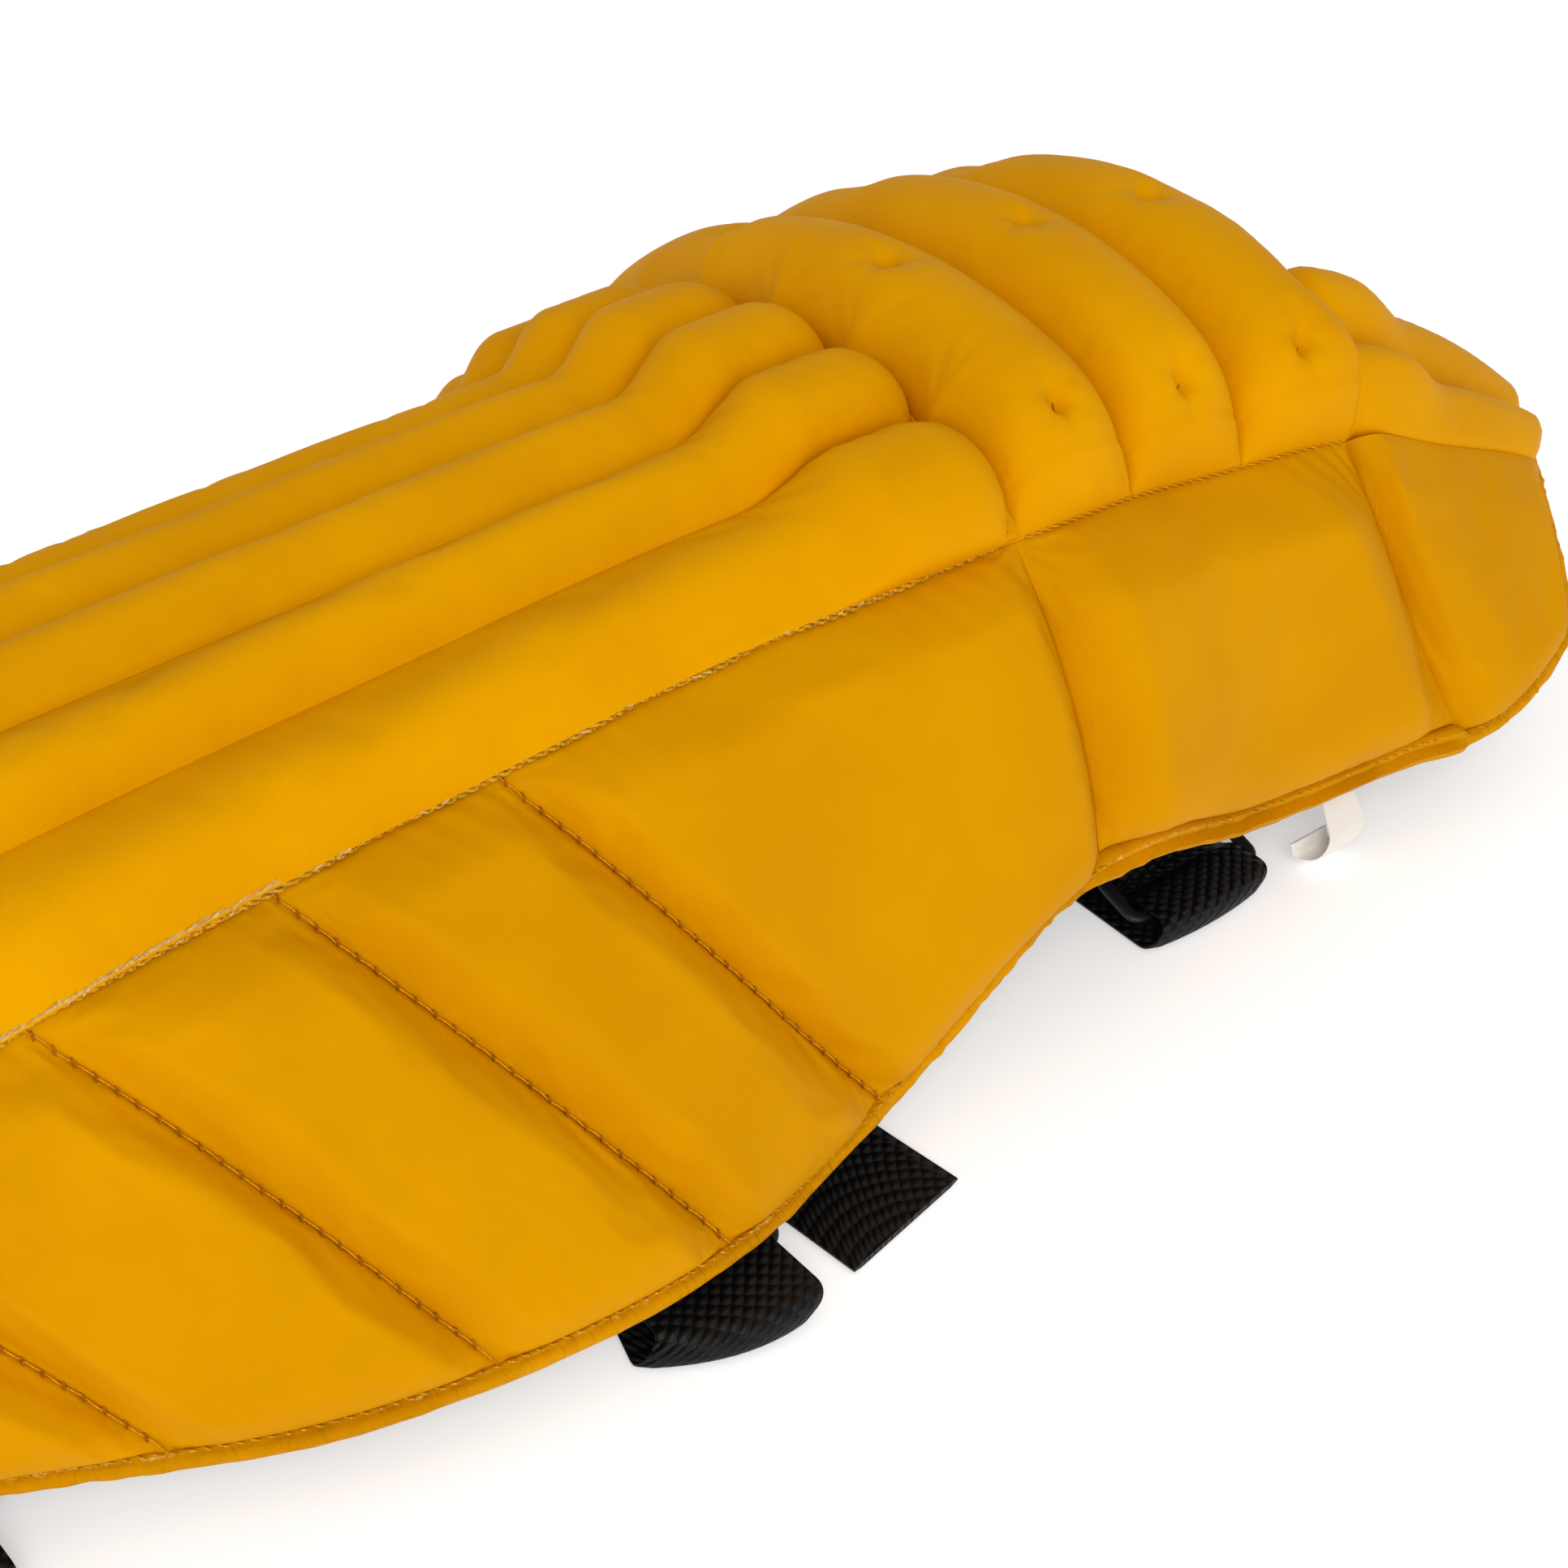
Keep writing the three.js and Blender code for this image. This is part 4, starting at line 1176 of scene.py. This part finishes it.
# at the knee the strip lies in two folds with a groove between them; elsewhere it is narrower and puckered
kneeFolds = [
    {"rise": 2.6, "out": -2.6, "reach": 1.5},
    {"rise": 2.6, "out": 2.7, "reach": 1.6},
    {"rise": -0.9, "out": 0.0, "reach": 0.9},
]
bindingStrip = {
    "narrow": 0.58, "shift": 0.9, "top": 2, "rim": 3, "rippleOut": 0.2, "cutStep": 1.6, "kneePull": 0.5,
    "pucker": 3.8, "puckerDepth": 0.65, "wander": (2, 17, 6), "ripple": (0.6, 5, 3), "sway": (0.35, 24, 4),
}
wearStyle = {"patches": (1.6, 26, 9), "share": 0.35, "out": -2.4, "reach": 2.2, "above": 1}


def bindingPlace(u, v, w):
    strip = bindingStrip
    count, ring = walk["count"], len(bindingSection)
    i = nearest(u * count) % count
    j = nearest(v * ring) % ring
    out, up = sectionOut[j], sectionUp[j]
    knee, travel = walk["knee"][i], walk["travel"][i]
    upper = (up > strip["top"]) * knee
    for fold in kneeFolds:
        up = up + upper * fold["rise"] * hump(out - fold["out"], fold["reach"])
    ripple = patchNoise(travel, out, *strip["ripple"]) + patchNoise(travel, out, *strip["sway"])
    wander = patchNoise(travel, 0 * out, *strip["wander"])
    tight = strip["puckerDepth"] * np.cos(2 * np.pi * travel / strip["pucker"] + wander)
    tight = tight * (up > strip["top"]) * (out < strip["rim"]) * (1 - knee)
    up = up + ripple * (np.abs(up) > strip["top"]) + tight
    out = (out + strip["rippleOut"] * ripple * (out > 0)) * mix(strip["narrow"], 1.0, knee)
    out = out + strip["shift"] * (1 - knee)
    points = walk["points"][i] + scaled(walk["away"][i], out) + scaled(walk["outward"][i], up)
    wear = smooth(patchNoise(travel, 0 * out, *wearStyle["patches"]) + wearStyle["share"])
    wear = wear * hump(sectionOut[j] - wearStyle["out"], wearStyle["reach"]) * (up > wearStyle["above"])
    marks = {"pull": mix(1.0, strip["kneePull"], knee), "wear": wear}
    return points, np.stack([u * walk["travel"][-1], v * ring * strip["cutStep"]], -1), marks


closeDistance = 0.02 * mm


def closeSeams(piece):
    bm = bmesh.new()
    bm.from_mesh(piece.data)
    bmesh.ops.remove_doubles(bm, verts=bm.verts[:], dist=closeDistance)
    bmesh.ops.recalc_face_normals(bm, faces=bm.faces[:])
    bm.to_mesh(piece.data)
    bm.free()


bindingPiece = finishPiece("edge_binding_strip", ringGrid(walk["count"], len(bindingSection)), bindingLeather,
                           "edge_binding", bindingPlace, sharp=70)
closeSeams(bindingPiece)

edgeStitch = {
    "pitch": 3.8 * mm, "length": 3.1 * mm, "radius": 0.34 * mm, "lift": 0.4 * mm, "askew": 0.35 * mm,
    "seed": 60, "out": -3.9, "kneeOut": -2.6, "height": 4.7, "kneeRise": 1.4,
}
closed = np.arange(walk["count"] + 1) % walk["count"]
plainOut = bindingStrip["shift"] + edgeStitch["out"] * bindingStrip["narrow"]
stitchOut = mix(plainOut, edgeStitch["kneeOut"], walk["knee"])
stitchUp = edgeStitch["height"] + edgeStitch["kneeRise"] * walk["knee"]
edgeLine = walk["points"] + scaled(walk["away"], stitchOut) + scaled(walk["outward"], stitchUp)
edgeRuns = stitches(edgeLine[closed], walk["outward"][closed], edgeStitch, edgeStitch["seed"])
threadPiece("edge_stitches", edgeRuns, cordThread)
print("edge bound")

# straps: the same route as the frame's ribbons, in floor millimetres
webStyle = {
    "width": 42.0, "thick": 1.8, "bend": 12.0, "across": 14, "tail": 105.0,
    "sewnEnd": 46, "sewnFoot": 16, "drop": 2, "rampFoot": 40, "rampTop": 14, "slack": 5,
    "foldPower": 1.8, "foldBow": 8,
}
loopStyle = {
    "width": 52.0, "depth": 20.0, "bar": 4.0, "thick": 2.4, "tilt": math.radians(18), "rise": 4.4,
    "inside": 8.0, "corner": 3.0, "cornerSteps": 6, "ring": 14, "square": 0.6, "cut": (148, 10),
}
layerStyle = {"floor": 0.9, "second": 3.6, "over": 7.7, "sewnGap": 1.9}
# a tail that is turned back beside its strap: shares of the strap's shift, and distances in from bar and fold
tailStyle = {"turn": 0.5, "over": 0.8, "down": 0.93, "overIn": 44, "downIn": 18, "endIn": 10, "endSkew": 0.2}
strapRows = [
    {"name": "ankle", "s": 62.0, "shift": 0.0, "poke": 13.0, "taper": 6.0, "skew": 0.0},
    {"name": "calf", "s": 258.0, "shift": 55.0, "poke": 17.0, "taper": 13.0, "skew": -8.0},
    {"name": "knee", "s": 469.0, "shift": 0.0, "poke": 2.0, "taper": 0.0, "skew": -7.0},
]
lineStyle = {"steps": 8, "share": 0.48}
ribbonRim = {"from": 0.99, "thick": 0.35}


def floorPoint(s, t, h):
    return shellPoint(np.array([s]), np.array([t]), np.array([h]))[0]


# height of a ribbon sewn inside the lining, so many thicknesses away from it
def sewnInside(style, layers):
    return -pad["lining"] - layerStyle["sewnGap"] - style["thick"] * layers


def roundedLine(corners, bend):
    corners = [np.array(c, float) for c in corners]
    points = [corners[0]]
    for before, here, after in zip(corners, corners[1:], corners[2:]):
        first, second = before - here, after - here
        shorter = min(np.linalg.norm(first), np.linalg.norm(second))
        trim = min(lineStyle["share"] * shorter, bend)
        enter = here + unit(first) * trim
        leave = here + unit(second) * trim
        for x in np.linspace(0, 1, lineStyle["steps"]):
            points.append((1 - x) ** 2 * enter + 2 * x * (1 - x) * here + x * x * leave)
    points.append(corners[-1])
    return np.array(points)


def ribbonPiece(name, node, size, cornersAt, material):
    across = size["across"]
    offsets = np.linspace(size["width"] / 2, -size["width"] / 2, across + 1)
    grid = np.stack([roundedLine(cornersAt(offset), size["bend"]) for offset in offsets])
    along = grid.shape[1] - 1
    tangent = np.gradient(grid, axis=1)
    normal = np.stack([0 * tangent[..., 0], -tangent[..., 2], tangent[..., 1]], -1)
    normal = normal / np.maximum(np.linalg.norm(normal, axis=-1), leastLength)[..., None]
    steps = np.linalg.norm(np.diff(grid, axis=1), axis=-1)
    travel = np.concatenate([np.zeros((across + 1, 1)), np.cumsum(steps, axis=1)], axis=1)

    def place(u, v, w):
        i = nearest(u * along)
        j = nearest(v * across)
        rim = np.abs(2 * v - 1)
        thick = size["thick"] * np.where(rim > ribbonRim["from"], ribbonRim["thick"], 1.0)
        points = grid[j, i] + normal[j, i] * ((w - 0.5) * thick)[:, None]
        cut = np.stack([travel[j, i], v * size["width"]], -1)
        return (points + shift) * mm, cut, {}

    finishPiece(name, slab(along, across), material, node, place, sharp=60)


def roundedFrame():
    style = loopStyle
    corner, steps = style["corner"], style["cornerSteps"]
    halfX, halfY = (style["width"] - style["bar"]) / 2, (style["depth"] - style["bar"]) / 2
    loop = []
    for cx, cy, start in ((1, 1, 0), (-1, 1, 90), (-1, -1, 180), (1, -1, 270)):
        for k in range(steps + 1):
            angle = math.radians(start + 90 * k / steps)
            loop.append((cx * (halfX - corner) + corner * math.cos(angle),
                         cy * (halfY - corner) + corner * math.sin(angle)))
    return np.array(loop)


def loopPiece(name, node, x, barY):
    style = loopStyle
    around = roundedFrame()
    count = len(around)
    cosTilt, sinTilt = math.cos(style["tilt"]), math.sin(style["tilt"])

    def place(u, v, w):
        i = nearest(u * count) % count
        turn = 2 * np.pi * v
        ahead = unit(around[(i + 1) % count] - around[i - 1])
        away = np.stack([ahead[:, 1], -ahead[:, 0]], -1)
        swell = np.abs(np.cos(turn)) ** style["square"] * np.sign(np.cos(turn))
        lift = np.abs(np.sin(turn)) ** style["square"] * np.sign(np.sin(turn))
        flat = around[i] + away * (swell * style["bar"] / 2)[:, None]
        y = flat[:, 1] + (style["depth"] - style["bar"]) / 2
        z = lift * style["thick"] / 2
        level = barY + y * cosTilt - z * sinTilt
        height = style["rise"] + y * sinTilt + z * cosTilt
        points = np.stack([x + flat[:, 0], level, height], -1)
        return (points + shift) * mm, np.stack([u * style["cut"][0], v * style["cut"][1]], -1), {}

    piece = finishPiece(name, ringGrid(count, style["ring"]), plastic, node, place, sharp=60)
    closeSeams(piece)


tabStyle = {
    "width": 40.0, "thick": 1.6, "foot": 20.0, "sewn": 34.0, "bend": 2.0, "across": 14,
    "clear": 1, "rise": 2, "lift": 1, "back": 4, "step": 3, "secondLayer": 1.9,
}
for row in strapRows:
    edge = floorPoint(row["s"], outerEdge(row["s"]), 0.0)
    barY = edge[1] + loopStyle["inside"]
    reach = loopStyle["depth"] - loopStyle["bar"]
    anchorY = barY + reach * math.cos(loopStyle["tilt"])
    anchorZ = loopStyle["rise"] + reach * math.sin(loopStyle["tilt"])
    tailY = barY + webStyle["tail"]

    def strapCorners(offset, row=row, edge=edge, barY=barY, anchorY=anchorY, tailY=tailY):
        s, x = row["s"] + offset, edge[0] + offset
        web, tail, shifted = webStyle, tailStyle, row["shift"]
        low, second, over = layerStyle["floor"], layerStyle["second"], layerStyle["over"]
        inside = sewnInside(web, 0.5)
        sewn = floorPoint(s, innerEdge(s) - web["sewnFoot"], inside)
        place = 0.5 - offset / web["width"]
        pokeY = edge[1] - row["poke"]
        foldY = pokeY + row["taper"] * place ** web["foldPower"] - web["foldBow"] * place * (1 - place)
        corners = [
            floorPoint(s, innerEdge(s) - web["sewnEnd"], inside), sewn, (x, sewn[1] - web["drop"], low),
            (x, tailY + web["rampFoot"], low), (x, tailY + web["rampTop"], second),
            (x, anchorY - web["slack"], second), (x, barY + web["slack"], over),
            (x, foldY, over), (x + row["skew"], foldY, low),
        ]
        if shifted == 0:
            return corners + [(x + row["skew"], tailY, low)]
        return corners + [
            (x + shifted * tail["turn"], tailY, low), (x + shifted * tail["turn"], tailY, over),
            (x + shifted * tail["over"], barY + tail["overIn"], over),
            (x + shifted * tail["down"], barY + tail["downIn"], low),
            (x + shifted, pokeY + tail["endIn"] + tail["endSkew"] * offset, low),
        ]

    def tabCorners(offset, row=row, edge=edge, anchorY=anchorY, anchorZ=anchorZ):
        tab = tabStyle
        s, x = row["s"] + offset, edge[0] + offset
        foot = outerEdge(s) + tab["foot"]
        top = foot + tab["sewn"]
        beside = loopStyle["bar"] / 2 + tab["clear"] + tab["thick"] / 2
        under = loopStyle["thick"] / 2 + tab["clear"] + tab["thick"] / 2
        first, second = sewnInside(tab, 0.5), sewnInside(tab, tab["secondLayer"])
        return [
            floorPoint(s, top, first), floorPoint(s, foot, first),
            (x, anchorY - beside, anchorZ + tab["rise"]), (x, anchorY - beside, anchorZ - under),
            (x, anchorY + beside, anchorZ - under + tab["lift"]),
            (x, anchorY + beside, anchorZ + tab["back"]), floorPoint(s, foot + tab["step"], second),
            floorPoint(s, top, second),
        ]

    name = row["name"]
    ribbonPiece(name + "_strap_web", name + "_strap", webStyle, strapCorners, webbing)
    loopPiece(name + "_loop_ring", name + "_loop", edge[0], barY)
    ribbonPiece(name + "_tab_web", name + "_tab", tabStyle, tabCorners, webbing)
print("straps threaded")

labelStyle = {
    "s": 523.0, "width": 15.0, "thick": 0.7, "bend": 4.0, "across": 8, "layers": 2.5,
    "sewn": 12.0, "under": 7.5, "reach": 3.0, "foot": 9.0,
    "curl": 4.5, "curlSkew": -5.0, "back": 7.0, "backSkew": 1.6, "backDrop": 1.4, "endSkew": 2,
}
labelEdge = floorPoint(labelStyle["s"], outerEdge(labelStyle["s"]), 0.0)


def labelCorners(offset):
    style = labelStyle
    s, x = style["s"] + offset, labelEdge[0] + offset
    edge = outerEdge(s)
    inside = sewnInside(style, style["layers"])
    footY, foot, skew = labelEdge[1] - style["reach"], style["foot"], style["curlSkew"]
    return [
        floorPoint(s, edge + style["sewn"], inside), floorPoint(s, edge - style["under"], inside),
        (x, footY, foot), (x + skew, footY, foot - style["curl"]),
        (x + style["backSkew"] * skew, footY + style["back"], foot - style["backDrop"] * style["curl"]),
        (x + style["endSkew"] * skew, footY + style["back"], foot),
    ]


ribbonPiece("care_label_tape", "care_label", labelStyle, labelCorners, tape)
print("label folded")


def aim(thing, direction):
    thing.rotation_mode = "QUATERNION"
    thing.rotation_quaternion = direction.to_track_quat("-Z", "Y")


# camera where the photograph was taken from
cameraStyle = {
    "at": (-51.7, -582.1, 555.3), "azimuth": -38.73, "elevation": 37.21, "lens": 68.87, "sensor": 36,
}
azimuth, elevation = math.radians(cameraStyle["azimuth"]), math.radians(cameraStyle["elevation"])
level = math.cos(elevation)
back = Vector((math.sin(azimuth) * level, -math.cos(azimuth) * level, math.sin(elevation)))
cameraData = bpy.data.cameras.new("photoCamera")
cameraData.lens = cameraStyle["lens"]
cameraData.sensor_width = cameraStyle["sensor"]
camera = addObject("photoCamera", cameraData)
camera.location = (Vector(cameraStyle["at"]) + Vector(shift)) * mm
aim(camera, -back)
bpy.context.scene.camera = camera

lightStyle = {"at": (-0.75, -1.45, 1.15), "target": (0, 0, 0.06), "size": 1.4, "power": 16}
lightData = bpy.data.lights.new("frontSoftbox", "AREA")
lightData.shape = "DISK"
lightData.size = lightStyle["size"]
lightData.energy = lightStyle["power"]
light = addObject("frontSoftbox", lightData)
light.location = lightStyle["at"]
aim(light, Vector(lightStyle["target"]) - Vector(lightStyle["at"]))

# a white studio with a pale floor sheet
studioStyle = {"white": "#ffffff", "strength": 0.62, "half": 6, "drop": 0.0005}
floorStyle = {
    "Base Color": linearColour("#f7f7f7"), "Roughness": 0.9,
    "Emission Color": linearColour("#ffffff"), "Emission Strength": 0.38,
}
world = bpy.context.scene.world or bpy.data.worlds.new("studio")
bpy.context.scene.world = world
world.use_nodes = True
background = world.node_tree.nodes["Background"]
background.inputs["Color"].default_value = linearColour(studioStyle["white"])
background.inputs["Strength"].default_value = studioStyle["strength"]
bpy.context.scene.view_settings.view_transform = "Standard"
floorMesh = bpy.data.meshes.new("floor")
bm = bmesh.new()
bmesh.ops.create_grid(bm, x_segments=1, y_segments=1, size=studioStyle["half"])
bm.to_mesh(floorMesh)
bm.free()
floorMaterial, floorTree, floorShader = newMaterial("floorPaper")
for socket, value in floorStyle.items():
    floorShader.inputs[socket].default_value = value
floorMesh.materials.append(floorMaterial)
floor = addObject("floor", floorMesh)
floor.location.z = -studioStyle["drop"]
